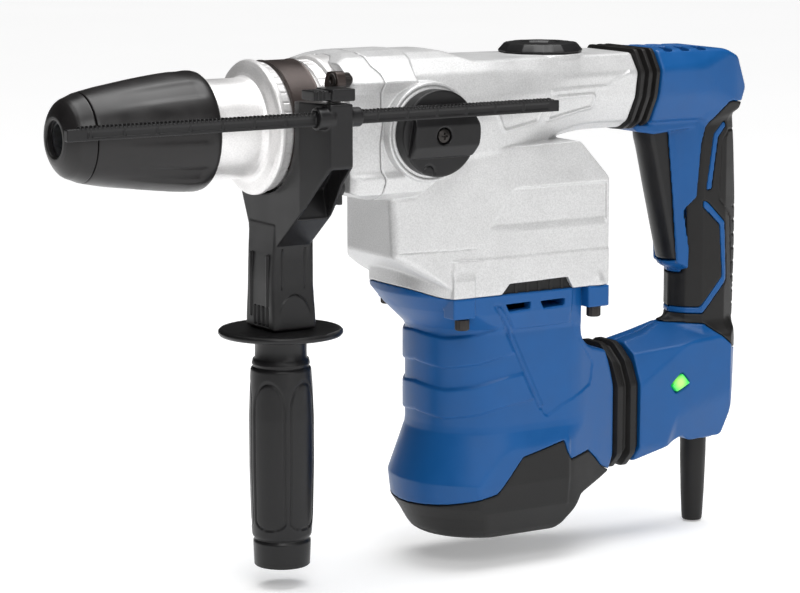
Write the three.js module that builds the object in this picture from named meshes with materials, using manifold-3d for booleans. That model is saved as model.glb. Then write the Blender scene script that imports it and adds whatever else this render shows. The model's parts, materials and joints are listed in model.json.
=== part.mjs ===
// Electric combination hammer: chuck, hammer mechanism, upright motor, D-handle and side handle.
// Millimetres, +X towards the rear handle, +Y to the side away from the mode knob, +Z up.
import * as THREE from 'three';
import { mergeVertices } from 'three/addons/utils/BufferGeometryUtils.js';
import Module from 'manifold-3d';

const wasm = await Module();
wasm.setup();

// ---- driving dimensions -------------------------------------------------------------------
const GAP = 0.3;                       // clearance between neighbouring pieces
const AXIS_Z = 262;                    // height of the tool axis over the end of the side grip
const BORE_R = 9.1;                    // tool holder bore for an 18 mm shank

const CASE_HALF = 44;                  // half width of the barrel part of the gear case
const BODY_HALF = 47;                  // half width of the gear chamber below it
const CASE_BOTTOM = 158;               // joint between gear case and motor housing
const BARREL_JOINT_X = 188;            // joint between barrel housing and gear case
const CASE_REAR_X = 348;               // rear wall of the gear chamber
const ARM_REAR_X = 380;                // end of the arm that carries the handle
const WALL = 3.5;                      // casting wall

const MOTOR_X = 281;                   // armature axis
const MODULE = 1.5;                    // spur gears
const PINION_TEETH = 10;
const CRANK_TEETH = 36;
const IDLER_TEETH = 30;
const CRANK_X = MOTOR_X + MODULE * (PINION_TEETH + CRANK_TEETH) / 2;
const IDLER_X = MOTOR_X - MODULE * (PINION_TEETH + IDLER_TEETH) / 2;
const GEAR_Z = 190;                    // underside of the spur gears
const GEAR_FACE = 11;

const BEVEL_MODULE = 1.8;
const BEVEL_PINION_TEETH = 9;
const BEVEL_RING_TEETH = 30;
const BEVEL_FACE = 7;

const CRANK_THROW = 13;                // half the piston stroke
const ROD_LENGTH = 62;                 // crank pin to wrist pin
const CRANK_PIN_X = CRANK_X + CRANK_THROW;
const WRIST_X = CRANK_PIN_X - ROD_LENGTH;

const STATOR_R = 38;
const MOTOR_R = 44;
const SCREW_XS = [244, 340];           // housing screws, on both sides
const SCREW_Y = 42;

const KNOB_X = 219;
const KNOB_Z = 258;
const KNOB_R = 25;
const CAP_X = 328;                     // grease cap
const CAP_R = 25.4;

const CLAMP_FRONT = 131.9;             // strap seat of the side handle
const CLAMP_REAR = 155.3;
const CLAMP_R = 35.5;
const GRIP_X = 144;                    // side grip axis
const ROD_Y = -66;                     // depth rod
const ROD_Z = 272;

const BELLOWS_LENGTH = 18;
const HANDLE_REAR_X = 476;
const BOOT_X = 451;

// ---- materials ----------------------------------------------------------------------------
const finish = (color, roughness, metalness) =>
  new THREE.MeshStandardMaterial({ color, roughness, metalness });
const CAST = finish(0xcdcfd0, 0.42, 0.75);
const BLUE = finish(0x2a62a8, 0.42, 0);
const BLACK = finish(0x2b2b2c, 0.5, 0);
const RUBBER = finish(0x2f2d2c, 0.8, 0);
const STEEL = finish(0xa9adb2, 0.35, 1);
const DARK_STEEL = finish(0x3a3634, 0.4, 0.9);
const COPPER = finish(0xb06a3a, 0.4, 1);
const BRASS = finish(0xc2a04e, 0.35, 1);
const LENS = finish(0x35d23a, 0.3, 0);

// ---- solids -------------------------------------------------------------------------------
// A geometry's triangles as a closed solid, shared corners merged and faces out.
function solid(geometry) {
  const bare = new THREE.BufferGeometry();
  bare.setAttribute('position', geometry.attributes.position);
  if (geometry.index) bare.setIndex(geometry.index);
  const merged = mergeVertices(bare, 1e-4);
  const corner = new THREE.BufferAttribute(merged.attributes.position.array, 3);
  const [a, b, c] = [new THREE.Vector3(), new THREE.Vector3(), new THREE.Vector3()];
  const triangles = [];
  let volume = 0;
  for (let i = 0; i < merged.index.count; i += 3) {
    const [p, q, r] = [0, 1, 2].map((k) => merged.index.getX(i + k));
    if (p === q || q === r || r === p) continue;
    triangles.push([p, q, r]);
    a.fromBufferAttribute(corner, p);
    b.fromBufferAttribute(corner, q);
    c.fromBufferAttribute(corner, r);
    volume += a.dot(b.cross(c));
  }
  const order = volume < 0 ? ([p, q, r]) => [p, r, q] : (t) => t;
  return new wasm.Manifold(new wasm.Mesh({
    numProp: 3,
    vertProperties: Float32Array.from(corner.array),
    triVerts: Uint32Array.from(triangles.flatMap(order)),
  }));
}

const join = (first, ...others) => others.reduce((sum, next) => sum.add(next), first);
const cut = (first, ...others) => others.reduce((rest, next) => rest.subtract(next), first);
const meet = (first, ...others) => others.reduce((common, next) => common.intersect(next), first);

// A turned piece: profile of [radius, distance along the axis], from axis to axis or closed.
function turned(profile, { axis = 'x', at = [0, 0, AXIS_Z], segments = 20 } = {}) {
  const outline = profile.map(([radius, along]) => new THREE.Vector2(radius, along));
  if (profile[0][0] > 0) outline.push(outline[0].clone());
  const lathe = new THREE.LatheGeometry(outline, segments);
  if (axis === 'x') lathe.rotateZ(-Math.PI / 2);
  if (axis === 'z') lathe.rotateX(Math.PI / 2);
  return solid(lathe.translate(...at));
}
const disc = (radius, from, to, options) =>
  turned([[0, from], [radius, from], [radius, to], [0, to]], options);
const ring = (inner, outer, from, to, options) =>
  turned([[inner, from], [outer, from], [outer, to], [inner, to]], options);

// An outline drawn in the two axes across `axis`, as a prism between two places along it.
function slab(points, axis, from, to) {
  const shape = new THREE.Shape(points.map(([u, v]) => new THREE.Vector2(u, v)));
  const prism = new THREE.ExtrudeGeometry(shape, { depth: to - from, bevelEnabled: false });
  prism.translate(0, 0, axis === 'y' ? -to : from);
  const turn = new THREE.Matrix4();
  if (axis === 'x') turn.set(0, 0, 1, 0, 1, 0, 0, 0, 0, 1, 0, 0, 0, 0, 0, 1);
  if (axis === 'y') turn.set(1, 0, 0, 0, 0, 0, -1, 0, 0, 1, 0, 0, 0, 0, 0, 1);
  return solid(prism.applyMatrix4(turn));
}
const block = (x0, x1, y0, y1, z0, z1) =>
  slab([[x0, y0], [x1, y0], [x1, y1], [x0, y1]], 'z', z0, z1);

// Corners replaced by short curves; a point's third number is its own corner size.
function rounded(points, size, steps = 1) {
  return points.flatMap(([x, y, own], i) => {
    const corner = new THREE.Vector2(x, y);
    const [before, after] = [points.at(i - 1), points[(i + 1) % points.length]].map(
      ([u, v]) => new THREE.Vector2(u, v).sub(corner));
    const reach = Math.min(own ?? size, before.length() / 2.02, after.length() / 2.02);
    if (reach < 0.1) return [[x, y]];
    const curve = new THREE.QuadraticBezierCurve(
      before.setLength(reach).add(corner), corner, after.setLength(reach).add(corner));
    return curve.getPoints(steps).map((p) => [p.x, p.y]);
  });
}

// An outline moved inwards by a distance, for the inside of a shell.
function inset(points, distance) {
  const area = points.reduce((sum, [x, y], i) => {
    const [u, v] = points[(i + 1) % points.length];
    return sum + x * v - u * y;
  }, 0);
  const side = Math.sign(area) * distance;
  return points.map(([x, y, own], i) => {
    const here = new THREE.Vector2(x, y);
    const into = here.clone().sub(new THREE.Vector2(...points.at(i - 1).slice(0, 2))).normalize();
    const out = new THREE.Vector2(...points[(i + 1) % points.length].slice(0, 2)).sub(here).normalize();
    const [n1, n2] = [into, out].map((d) => new THREE.Vector2(-d.y, d.x));
    const middle = n1.clone().add(n2);
    middle.multiplyScalar(side / (1 + n1.dot(n2)));
    return [x + middle.x, y + middle.y, own];
  });
}
// Half outlines completed across u = 0 and across v = 0.
const mirrored = (half) => [
  ...half, ...half.filter(([u]) => u !== 0).map(([u, v, own]) => [-u, v, own]).reverse()];
const mirroredY = (half) => [...half, ...half.map(([u, v, own]) => [u, -v, own]).reverse()];

// A coil spring along X, centred on a line.
function coilSpring(radius, wire, turns, from, to, [y, z], steps = 9) {
  const points = [];
  for (let i = 0; i <= turns * steps; i += 1) {
    const angle = 2 * Math.PI * i / steps;
    const x = from + wire + (to - from - 2 * wire) * i / (turns * steps);
    points.push(new THREE.Vector3(x, y + radius * Math.cos(angle), z + radius * Math.sin(angle)));
  }
  const section = new THREE.Shape(Array.from({ length: 5 }, (_, k) => new THREE.Vector2(
    wire * Math.cos(k * Math.PI / 2.5), wire * Math.sin(k * Math.PI / 2.5))));
  return solid(new THREE.ExtrudeGeometry(section, {
    steps: turns * steps, extrudePath: new THREE.CatmullRomCurve3(points), bevelEnabled: false,
  }));
}

// ---- gears --------------------------------------------------------------------------------
const PRESSURE = Math.tan(20 * Math.PI / 180);
const ADDENDUM = 0.72;
const DEDENDUM = 1.4;
const BACKLASH = 0.5;

// Outline of a spur gear; a tooth is centred on `phase` degrees.
function spurOutline(teeth, phase) {
  const pitch = MODULE * teeth / 2;
  const half = Math.PI * MODULE / 4 - BACKLASH / 2;
  const levels = [
    [pitch - DEDENDUM * MODULE, half + 0.7 * DEDENDUM * MODULE * PRESSURE],
    [pitch + ADDENDUM * MODULE, half - 1.2 * ADDENDUM * MODULE * PRESSURE],
  ];
  const flank = levels.map(([radius, width]) => [radius, width / pitch]);
  return Array.from({ length: teeth }, (_, k) => {
    const middle = THREE.MathUtils.degToRad(phase + 360 * k / teeth);
    return [...flank.map(([r, a]) => [r, middle - a]), ...flank.toReversed().map(
      ([r, a]) => [r, middle + a])];
  }).flat().map(([r, a]) => [r * Math.cos(a), r * Math.sin(a)]);
}
const spurGear = (teeth, phase, x) => slab(
  spurOutline(teeth, phase).map(([u, v]) => [u + x, v]), 'z', GEAR_Z, GEAR_Z + GEAR_FACE);

// A bevel gear with the tip of its cone at the origin and its axis along +Z.
function bevelGear(teeth, mate, bore, back, phase) {
  const pitch = BEVEL_MODULE * teeth / 2;
  const cone = Math.atan2(teeth, mate);
  const reach = pitch / Math.sin(cone);
  const small = (reach - BEVEL_FACE) / reach;
  const level = (height, scale) => [
    (pitch + height * Math.cos(cone)) * scale,
    (pitch / Math.tan(cone) - height * Math.sin(cone)) * scale];
  const tip = ADDENDUM * BEVEL_MODULE;
  const root = DEDENDUM * BEVEL_MODULE;
  const [innerTip, outerTip, outerRoot] = [level(tip, small), level(tip, 1), level(-root, 1)];
  const blank = turned([
    [bore, innerTip[1]], innerTip, outerTip, outerRoot, [outerRoot[0], back], [bore, back],
  ], { axis: 'z', at: [0, 0, 0], segments: teeth * (teeth < 20 ? 2 : 1) });
  const width = (height) => Math.PI * BEVEL_MODULE / 4 + BACKLASH / 2 + height * PRESSURE;
  const top = tip + 1;
  const gap = new THREE.Shape([[-width(-root), -root], [width(-root), -root],
    [width(top), top], [-width(top), top]].map(([u, v]) => new THREE.Vector2(u, v)));
  let gear = blank;
  for (let k = 0; k < teeth; k += 1) {
    const cutter = new THREE.ExtrudeGeometry(gap, { depth: BEVEL_FACE + 4, bevelEnabled: false });
    cutter.translate(0, 0, reach - BEVEL_FACE - 2);
    const place = cutter.attributes.position;
    for (let i = 0; i < place.count; i += 1) {
      const scale = place.getZ(i) / reach;
      place.setXY(i, place.getX(i) * scale, place.getY(i) * scale);
    }
    cutter.applyMatrix4(new THREE.Matrix4().makeBasis(
      new THREE.Vector3(0, -1, 0),
      new THREE.Vector3(Math.cos(cone), 0, -Math.sin(cone)),
      new THREE.Vector3(Math.sin(cone), 0, Math.cos(cone))));
    cutter.rotateZ(THREE.MathUtils.degToRad(phase + 360 * k / teeth));
    gear = gear.subtract(solid(cutter));
  }
  return gear;
}
const placed = (body, matrix) => solid(geometryOf(body).applyMatrix4(matrix));

function geometryOf(body) {
  const { vertProperties, triVerts } = body.getMesh();
  const geometry = new THREE.BufferGeometry();
  geometry.setAttribute('position', new THREE.BufferAttribute(vertProperties, 3));
  geometry.setIndex(new THREE.BufferAttribute(triVerts, 1));
  return geometry;
}

// ---- assembly -----------------------------------------------------------------------------
const hammer = new THREE.Group();
function part(name, body, material) {
  const mesh = new THREE.Mesh(geometryOf(body), material);
  mesh.name = name;
  hammer.add(mesh);
}

const MOTOR = { axis: 'z', at: [MOTOR_X, 0, 0] };
const CRANK = { axis: 'z', at: [CRANK_X, 0, 0] };
const IDLER = { axis: 'z', at: [IDLER_X, 0, 0] };
const around = (x, y, segments = 12) => ({ axis: 'z', at: [x, y, 0], segments });
const screwPlaces = SCREW_XS.flatMap((x) => [[x, -SCREW_Y], [x, SCREW_Y]]);

// ---- gear case ----------------------------------------------------------------------------
const UPPER_SIDE = [[188.3, 303], [243, 302], [259, 296], [380, 296.5], [380, 249], [356, 248],
  [343, 243], [336, 228], [336, 219], [188.3, 219]];
const UPPER_PLAN = mirroredY([[188.3, -44], [262, -44], [300, -36], [368, -33], [380, -29]]);
const UPPER_FRONT = mirrored([[0, 303.5], [22, 303.5], [40, 290], [44, 281], [44, 236], [34, 222],
  [30, 219], [0, 219]].map(([y, z]) => [-y, z]));
const LOWER_SIDE = [[198, 226], [336, 238], [CASE_REAR_X, 222], [CASE_REAR_X, 158], [236, 158],
  [214, 167], [214, 183], [198, 190]];
const LOWER_PLAN = mirroredY([[197, -12, 8], [204, -30, 12], [224, -44, 12],
  [250, -BODY_HALF, 6], [CASE_REAR_X, -BODY_HALF, 5]]);
const ARM_FRONT = mirrored([[0, 305], [23, 305], [33, 288], [33, 268], [22, 250], [0, 247]].map(
  ([y, z]) => [-y, z]));

function upperCase(wall) {
  return meet(
    slab(inset(UPPER_SIDE, wall), 'y', -60, 60),
    slab(inset(UPPER_PLAN, wall), 'z', 200, 320),
    slab(inset(UPPER_FRONT, wall), 'x', 180, 400));
}
function lowerCase(wall) {
  return meet(
    slab(inset(LOWER_SIDE, wall), 'y', -60, 60),
    slab(rounded(inset(LOWER_PLAN, wall), 6), 'z', 140, 240));
}
function gearCase() {
  const arm = meet(slab(inset(ARM_FRONT, WALL), 'x', 345, 376),
    block(345, 376, -60, 60, 252.5, 292.5));
  const floor = block(190, 345, -50, 50, 212, 221);
  const chambers = cut(join(upperCase(WALL), lowerCase(WALL),
    meet(lowerCase(WALL), block(190, 360, -60, 60, 150, 166)),
    slab(rounded(inset(LOWER_PLAN, WALL), 6), 'z', 150, 168)), floor);
  const bosses = join(...screwPlaces.map(([x, y]) => disc(7, CASE_BOTTOM, 182, around(x, y))));
  const knobSeat = disc(KNOB_R + 2, 0, 8, {
    axis: 'y', at: [KNOB_X, -CASE_HALF - 3, KNOB_Z], segments: 32 });
  const capSeat = disc(CAP_R + 1.8, 285, 297.5, around(CAP_X, 0, 24));
  const outside = join(upperCase(0), lowerCase(0), bosses, knobSeat, capSeat);
  return cut(outside, chambers, arm,
    block(180, 194, -34, 34, 231, 293),
    disc(22, 280, 310, around(CAP_X, 0, 36)),
    disc(10, -10, 20, { axis: 'y', at: [KNOB_X, -CASE_HALF, KNOB_Z], segments: 20 }),
    disc(16.3, 205, 225, around(CRANK_X, 0, 28)),
    disc(11, 205, 225, around(IDLER_X, 0, 24)),
    disc(14, 370, 390, { at: [0, 0, 273], segments: 20 }),
    ...screwPlaces.map(([x, y]) => disc(2.8, 150, 177, around(x, y, 8))));
}
part('gear_case', gearCase(), CAST);

// ---- barrel housing -----------------------------------------------------------------------
function barrelHousing() {
  const neck = turned([[0, 84], [29, 84], [29, 116.5], [31.8, 121], [38.8, 122.5], [38.8, 126.8],
    [37.5, 127], [37.5, CLAMP_FRONT - GAP], [CLAMP_R, CLAMP_FRONT - GAP],
    [CLAMP_R, CLAMP_REAR + GAP], [37.5, CLAMP_REAR + GAP], [37.5, 162], [41, 164], [41, 180],
    [0, 180]], { segments: 32 });
  const flange = meet(slab(UPPER_FRONT, 'x', 170, BARREL_JOINT_X),
    slab(mirroredY([[170, -40], [180, -CASE_HALF], [190, -CASE_HALF]]), 'z', 200, 320),
    slab([[166, 298], [180, 303.3], [190, 303.3], [190, 219], [178, 219], [166, 226]],
      'y', -60, 60));
  const bore = turned([[0, 80], [24, 80], [24, 118], [31, 124], [31, 174], [24.3, 176],
    [24.3, 192], [0, 192]]);
  return cut(join(neck, flange), bore);
}
part('barrel_housing', barrelHousing(), CAST);
part('spindle_front_bearing', ring(17.3, 23.7, 93, 105), STEEL);
part('spindle_rear_bearing', ring(19.3, 24, 177, 187), STEEL);

// ---- gear case fittings -------------------------------------------------------------------
function greaseCap() {
  const cap = turned([[0, 290], [21.5, 290], [21.5, 297.8], [CAP_R, 297.8], [CAP_R, 299.5],
    [CAP_R - 3, 303.8], [0, 303.8]], around(CAP_X, 0, 12));
  const grips = [0, 1, 2].map((k) => {
    const notch = new THREE.BoxGeometry(8, 60, 4).rotateZ(k * Math.PI / 3);
    return solid(notch.translate(CAP_X, 0, 305.3));
  });
  return cut(cap, ...grips, disc(18, 285, 300, around(CAP_X, 0, 16)));
}
part('grease_cap', greaseCap(), BLACK);

const CRANK_BEARING_R = 16;
const ARMATURE_BEARING_R = 12.7;
part('bearing_plate', cut(
  slab(rounded(inset(LOWER_PLAN, WALL + GAP), 6), 'z', CASE_BOTTOM + GAP, 166),
  block(190, 238, -60, 60, 150, 175),
  disc(ARMATURE_BEARING_R + GAP, 150, 175, MOTOR),
  disc(8.3, 150, 175, CRANK),
  disc(5.3, 150, 175, IDLER),
  ...screwPlaces.map(([x, y]) => disc(7 + GAP, 150, 175, around(x, y)))), CAST);
part('armature_upper_bearing', ring(5.3, ARMATURE_BEARING_R, 158.5, 165.8, MOTOR), STEEL);
part('crank_bearing', ring(8.3, CRANK_BEARING_R, 212.5, 220.5, CRANK), STEEL);
screwPlaces.forEach(([x, y], i) => part(`motor_screw_${i + 1}`, cut(
  turned([[0, 138], [4.4, 138], [4.4, 144.4], [2.5, 144.4], [2.5, 175], [0, 175]], around(x, y, 8)),
  disc(2.3, 135, 141.5, { ...around(x, y), segments: 6 })), DARK_STEEL));

// ---- motor housing ------------------------------------------------------------------------
const MOTOR_SIDE = [[214, 167], [236, 157.7], [CASE_REAR_X, 157.7], [CASE_REAR_X, 146],
  [338, 142], [338, 128], [352, 116], [366, 110], [366, 38], [226, 38], [225, 52], [238, 82],
  [236, 138], [214, 158]];
const MOTOR_PLAN = mirroredY([[235, -18, 8], [244, -36, 16], [264, -MOTOR_R, 10],
  [324, -44, 10], [352, -31, 10], [366, -29]]);
const FLANGE_PLAN = mirroredY([[213, -22, 10], [226, -42, 12], [250, -BODY_HALF, 6],
  [CASE_REAR_X, -BODY_HALF, 5]]);
const BASE_PLAN = mirroredY([[223, -26, 14], [236, -46, 18], [268, -50, 10],
  [318, -46, 10], [350, -31, 10], [366, -29]]);

function motorHousing() {
  const side = slab(MOTOR_SIDE, 'y', -60, 60);
  const column = meet(side, slab(rounded(MOTOR_PLAN, 8), 'z', 30, 170));
  const flange = meet(side, slab(rounded(FLANGE_PLAN, 6), 'z', 146, 170));
  const base = meet(side, slab(rounded(BASE_PLAN, 8), 'z', 30, 62));
  const bosses = join(...screwPlaces.map(([x, y]) => disc(7, 144.8, 157.7, around(x, y))));
  return cut(join(column, flange, base, bosses),
    disc(STATOR_R + 0.4, 50, 180, { ...MOTOR, segments: 32 }),
    slab(rounded(inset(BASE_PLAN, 5), 8), 'z', 20, 56),
    block(322, 361, -24, 24, 30, 104),
    block(350, 380, -16, 16, 54, 96),
    slab([[222, 163], [236, 153], [244, 153], [244, 180], [222, 180]], 'y', -34, 34),
    ...screwPlaces.map(([x, y]) => disc(2.8, 130, 180, around(x, y, 8))),
    ...[[278, 294], [304, 320]].map(([x0, x1]) => block(x0, x1, -60, -30, 146.5, 151)),
    ...[[278, 294], [304, 320]].map(([x0, x1]) => block(x0, x1, 30, 60, 146.5, 151)));
}
part('motor_housing', motorHousing(), BLUE);

function baseCap() {
  const side = [[226.5, 37.7], [366, 37.7], [352, 32], [334, 28], [318, 6], [256, 6], [242, 12],
    [231, 24]];
  const body = meet(slab(side, 'y', -60, 60), slab(rounded(BASE_PLAN, 8), 'z', 0, 60),
    slab(mirrored([[0, 6], [-30, 6], [-46, 18], [-51, 30], [-51, 60], [0, 60]]), 'x', 200, 400));
  const hollow = meet(slab(inset(side, 4).map(([x, z]) => [x, z > 33 ? 60 : z]), 'y', -60, 60),
    slab(rounded(inset(BASE_PLAN, 6), 8), 'z', 0, 60),
    slab(mirrored([[0, 10], [-28, 10], [-41, 21], [-46, 31], [-46, 60], [0, 60]]), 'x', 200, 400));
  const pocket = ring(10, 13.5, 8, 20.5, MOTOR);
  return join(cut(body, hollow), pocket);
}
part('base_cap', baseCap(), BLACK);
part('armature_lower_bearing', ring(5.3, 9.7, 12, 20, MOTOR), STEEL);

// ---- motor --------------------------------------------------------------------------------
const CORE_BOTTOM = 50;
const CORE_TOP = 100;
const COIL_ANGLE = 62;                 // half the angle that a field coil spans, in degrees
function sector(inner, outer, halfAngle, from, to, middle) {
  const arc = (radius, sign) => Array.from({ length: 9 }, (_, k) => {
    const angle = THREE.MathUtils.degToRad(middle + sign * halfAngle * (1 - k / 4));
    return [MOTOR_X + radius * Math.cos(angle), radius * Math.sin(angle)];
  });
  return slab([...arc(inner, -1), ...arc(outer, 1)], 'z', from, to);
}
const coilSlots = (middle, grow) => cut(
  sector(27 - grow, 34 + grow, COIL_ANGLE + 2 * grow, CORE_BOTTOM - 8, CORE_TOP + 8, middle),
  sector(20, 40, COIL_ANGLE - 14 - 2 * grow, CORE_BOTTOM - grow, CORE_TOP + grow, middle));
part('stator_core', cut(ring(25.2, STATOR_R, CORE_BOTTOM, CORE_TOP, { ...MOTOR, segments: 32 }),
  coilSlots(0, 0.5), coilSlots(180, 0.5)), DARK_STEEL);
part('field_coil_rear', coilSlots(0, 0), COPPER);
part('field_coil_front', coilSlots(180, 0), COPPER);

const ARMATURE_BOTTOM = 11;
const PINION_TOP = GEAR_Z + GEAR_FACE + 1;
part('armature_shaft', join(
  disc(5, ARMATURE_BOTTOM, PINION_TOP - 2, { ...MOTOR, segments: 24 }),
  slab(spurOutline(PINION_TEETH, 0).map(([u, v]) => [u + MOTOR_X, v]), 'z', GEAR_Z - 1,
    PINION_TOP)), STEEL);
function rotorCore() {
  const core = ring(5.3, 24.6, CORE_BOTTOM - 1, CORE_TOP + 1, MOTOR);
  const slots = Array.from({ length: 12 }, (_, k) => {
    const slot = new THREE.BoxGeometry(9, 2.4, 70).translate(22, 0, 75);
    return solid(slot.rotateZ(k * Math.PI / 6).translate(MOTOR_X, 0, 0));
  });
  return cut(core, ...slots);
}
part('rotor_core', rotorCore(), DARK_STEEL);
function commutator() {
  const drum = ring(5.3, 14, 25, 41, MOTOR);
  const slits = Array.from({ length: 12 }, (_, k) => solid(
    new THREE.BoxGeometry(3, 0.6, 20).translate(14, 0, 33).rotateZ((k + 0.5) * Math.PI / 6)
      .translate(MOTOR_X, 0, 0)));
  return cut(drum, ...slits);
}
part('commutator', commutator(), COPPER);
for (const [side, sign] of [['right', -1], ['left', 1]]) {
  const [near, far] = [16, 37].map((y) => sign * y);
  const tube = block(MOTOR_X - 6, MOTOR_X + 6, Math.min(near, far), Math.max(near, far), 25, 41);
  const brush = block(MOTOR_X - 3.7, MOTOR_X + 3.7, ...[sign * 10, sign * 33].sort((a, b) => a - b),
    27.5, 38.5);
  part(`brush_holder_${side}`, cut(tube, brush), BRASS);
}
function coolingFan() {
  const hub = ring(5.3, 12, 111, 124, { ...MOTOR, segments: 16 });
  const plate = ring(11, 35, 111, 113, MOTOR);
  const blades = Array.from({ length: 8 }, (_, k) => solid(
    new THREE.BoxGeometry(23, 1.6, 12).translate(23, 0, 118).rotateZ(k * Math.PI / 4)
      .translate(MOTOR_X, 0, 0)));
  return join(hub, plate, ...blades);
}
part('cooling_fan', coolingFan(), BLACK);

// ---- gear train ---------------------------------------------------------------------------
const CRANK_GEAR_BORE = 8.3;
part('crank_gear', cut(spurGear(CRANK_TEETH, 5, CRANK_X),
  disc(CRANK_GEAR_BORE, 180, 210, CRANK),
  ...Array.from({ length: 4 }, (_, k) => disc(4.5, 180, 210, around(
    CRANK_X + 16.5 * Math.cos(k * Math.PI / 2), 16.5 * Math.sin(k * Math.PI / 2), 8)))), STEEL);
part('crankshaft', join(disc(8, 159, 238.5, { ...CRANK, segments: 24 }),
  disc(20, 238, 247, { ...CRANK, segments: 32 }),
  disc(5, 246.5, 256.3, around(CRANK_PIN_X, 0, 20))), STEEL);
part('intermediate_gear', join(cut(spurGear(IDLER_TEETH, 6, IDLER_X),
  ...Array.from({ length: 4 }, (_, k) => disc(3.5, 180, 210, around(
    IDLER_X + 13 * Math.cos(k * Math.PI / 2), 13 * Math.sin(k * Math.PI / 2), 8)))),
  disc(5, 159, 227, { ...IDLER, segments: 20 })), STEEL);

const BEVEL_PITCH_RING = BEVEL_MODULE * BEVEL_RING_TEETH / 2;
const BEVEL_PITCH_PINION = BEVEL_MODULE * BEVEL_PINION_TEETH / 2;
part('bevel_pinion', placed(
  join(bevelGear(BEVEL_PINION_TEETH, BEVEL_RING_TEETH, 0, BEVEL_PITCH_RING + 2, 0),
    disc(5.5, BEVEL_PITCH_RING + 1.5, AXIS_Z - 227.3, { axis: 'z', at: [0, 0, 0], segments: 20 })),
  new THREE.Matrix4().makeRotationX(Math.PI).setPosition(IDLER_X, 0, AXIS_Z)), STEEL);
const CYLINDER_R = 19;
part('bevel_ring_gear', placed(
  bevelGear(BEVEL_RING_TEETH, BEVEL_PINION_TEETH, CYLINDER_R + GAP, BEVEL_PITCH_PINION + 7, 0),
  new THREE.Matrix4().makeRotationY(-Math.PI / 2).setPosition(IDLER_X, 0, AXIS_Z)), STEEL);

// ---- spindle and hammer mechanism ---------------------------------------------------------
const ROLLER_X = 46;
part('tool_holder', cut(
  turned([[BORE_R, 4], [14.5, 4], [14.5, 70], [17, 70], [17, 127], [12.3, 127], [12.3, 84],
    [BORE_R, 82]]),
  block(ROLLER_X - 7, ROLLER_X + 7, -2.9, 2.9, 240, 284)), STEEL);
for (const [side, z] of [['upper', AXIS_Z + 11.8], ['lower', AXIS_Z - 11.8]]) {
  part(`lock_roller_${side}`, disc(2.5, ROLLER_X - 6, ROLLER_X + 6, { at: [0, 0, z], segments: 12 }),
    STEEL);
}
part('hammer_cylinder', ring(15, CYLINDER_R, 127.5, 290), STEEL);
part('nose_cap', turned([[10.4, 0], [13.5, 0], [18.5, 1.2], [22, 4], [24.3, 8], [24.8, 12.3],
  [14.8, 12.3], [14.8, 3.7], [10.4, 3.7]]), RUBBER);
part('locking_sleeve', turned([[14.8, 12.8], [25, 12.8], [27.5, 28.4], [31, 48.4], [33.7, 68.7],
  [34.3, 80], [33.8, 88], [32, 91], [30.3, 91], [30.3, 70.5], [20, 67], [20, 31], [14.8, 31]]),
RUBBER);
part('sleeve_spring', coilSpring(17.3, 1, 5, 31.3, 69.7, [0, AXIS_Z]), STEEL);

part('piston', cut(
  turned([[0, 250], [14.2, 250], [14.7, 251], [14.7, 254], [13.6, 254.5], [13.6, 256.5],
    [14.7, 257], [14.7, 276], [0, 276]]),
  block(257.5, 280, -9.5, 9.5, AXIS_Z - 5.6, AXIS_Z + 5.6),
  disc(3.3, 200, 300, around(WRIST_X, 0, 12))), CAST);
part('wrist_pin', disc(3, AXIS_Z - 12, AXIS_Z + 12, around(WRIST_X, 0, 12)), STEEL);
part('connecting_rod', cut(
  join(block(WRIST_X, CRANK_PIN_X, -3.4, 3.4, AXIS_Z - 3.5, AXIS_Z + 3.5),
    disc(7, AXIS_Z - 5, AXIS_Z + 5, around(WRIST_X, 0, 20)),
    disc(9.5, AXIS_Z - 5, AXIS_Z + 5, around(CRANK_PIN_X, 0, 24))),
  disc(3.3, 200, 300, around(WRIST_X, 0, 12)),
  disc(5.3, 200, 300, around(CRANK_PIN_X, 0, 20))), STEEL);
part('striker', turned([[0, 160], [9, 160], [10, 161], [10, 168], [14.7, 170], [14.7, 178],
  [13.4, 178.5], [13.4, 181.5], [14.7, 182], [14.7, 192], [0, 192]]), STEEL);
part('anvil', turned([[0, 90], [7, 90], [8, 91], [8, 104], [11.9, 106], [11.9, 114], [8.5, 116],
  [8.5, 134], [0, 134]], { segments: 24 }), STEEL);

// ---- mode knob ----------------------------------------------------------------------------
const KNOB = { axis: 'y', at: [KNOB_X, 0, KNOB_Z], segments: 32 };
const KNOB_FACE = -57;
const KNOB_BAR_FACE = -63;
part('mode_knob', cut(join(
  disc(KNOB_R, KNOB_FACE, -CASE_HALF - 3.3, KNOB),
  slab(rounded([[KNOB_X - 22, KNOB_Z - 11], [KNOB_X + 22, KNOB_Z - 11], [KNOB_X + 22, KNOB_Z + 11],
    [KNOB_X - 22, KNOB_Z + 11]], 4), 'y', KNOB_BAR_FACE, KNOB_FACE + 1),
  disc(9.5, -CASE_HALF - 4, -34, { ...KNOB, segments: 20 })),
disc(4.5, KNOB_BAR_FACE - 1, -54, { ...KNOB, segments: 20 })), BLACK);
part('knob_screw', cut(disc(4, -59.5, -54.3, { ...KNOB, segments: 16 }),
  block(KNOB_X - 2.6, KNOB_X + 2.6, -61, -58, KNOB_Z - 0.6, KNOB_Z + 0.6)), DARK_STEEL);

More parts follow.
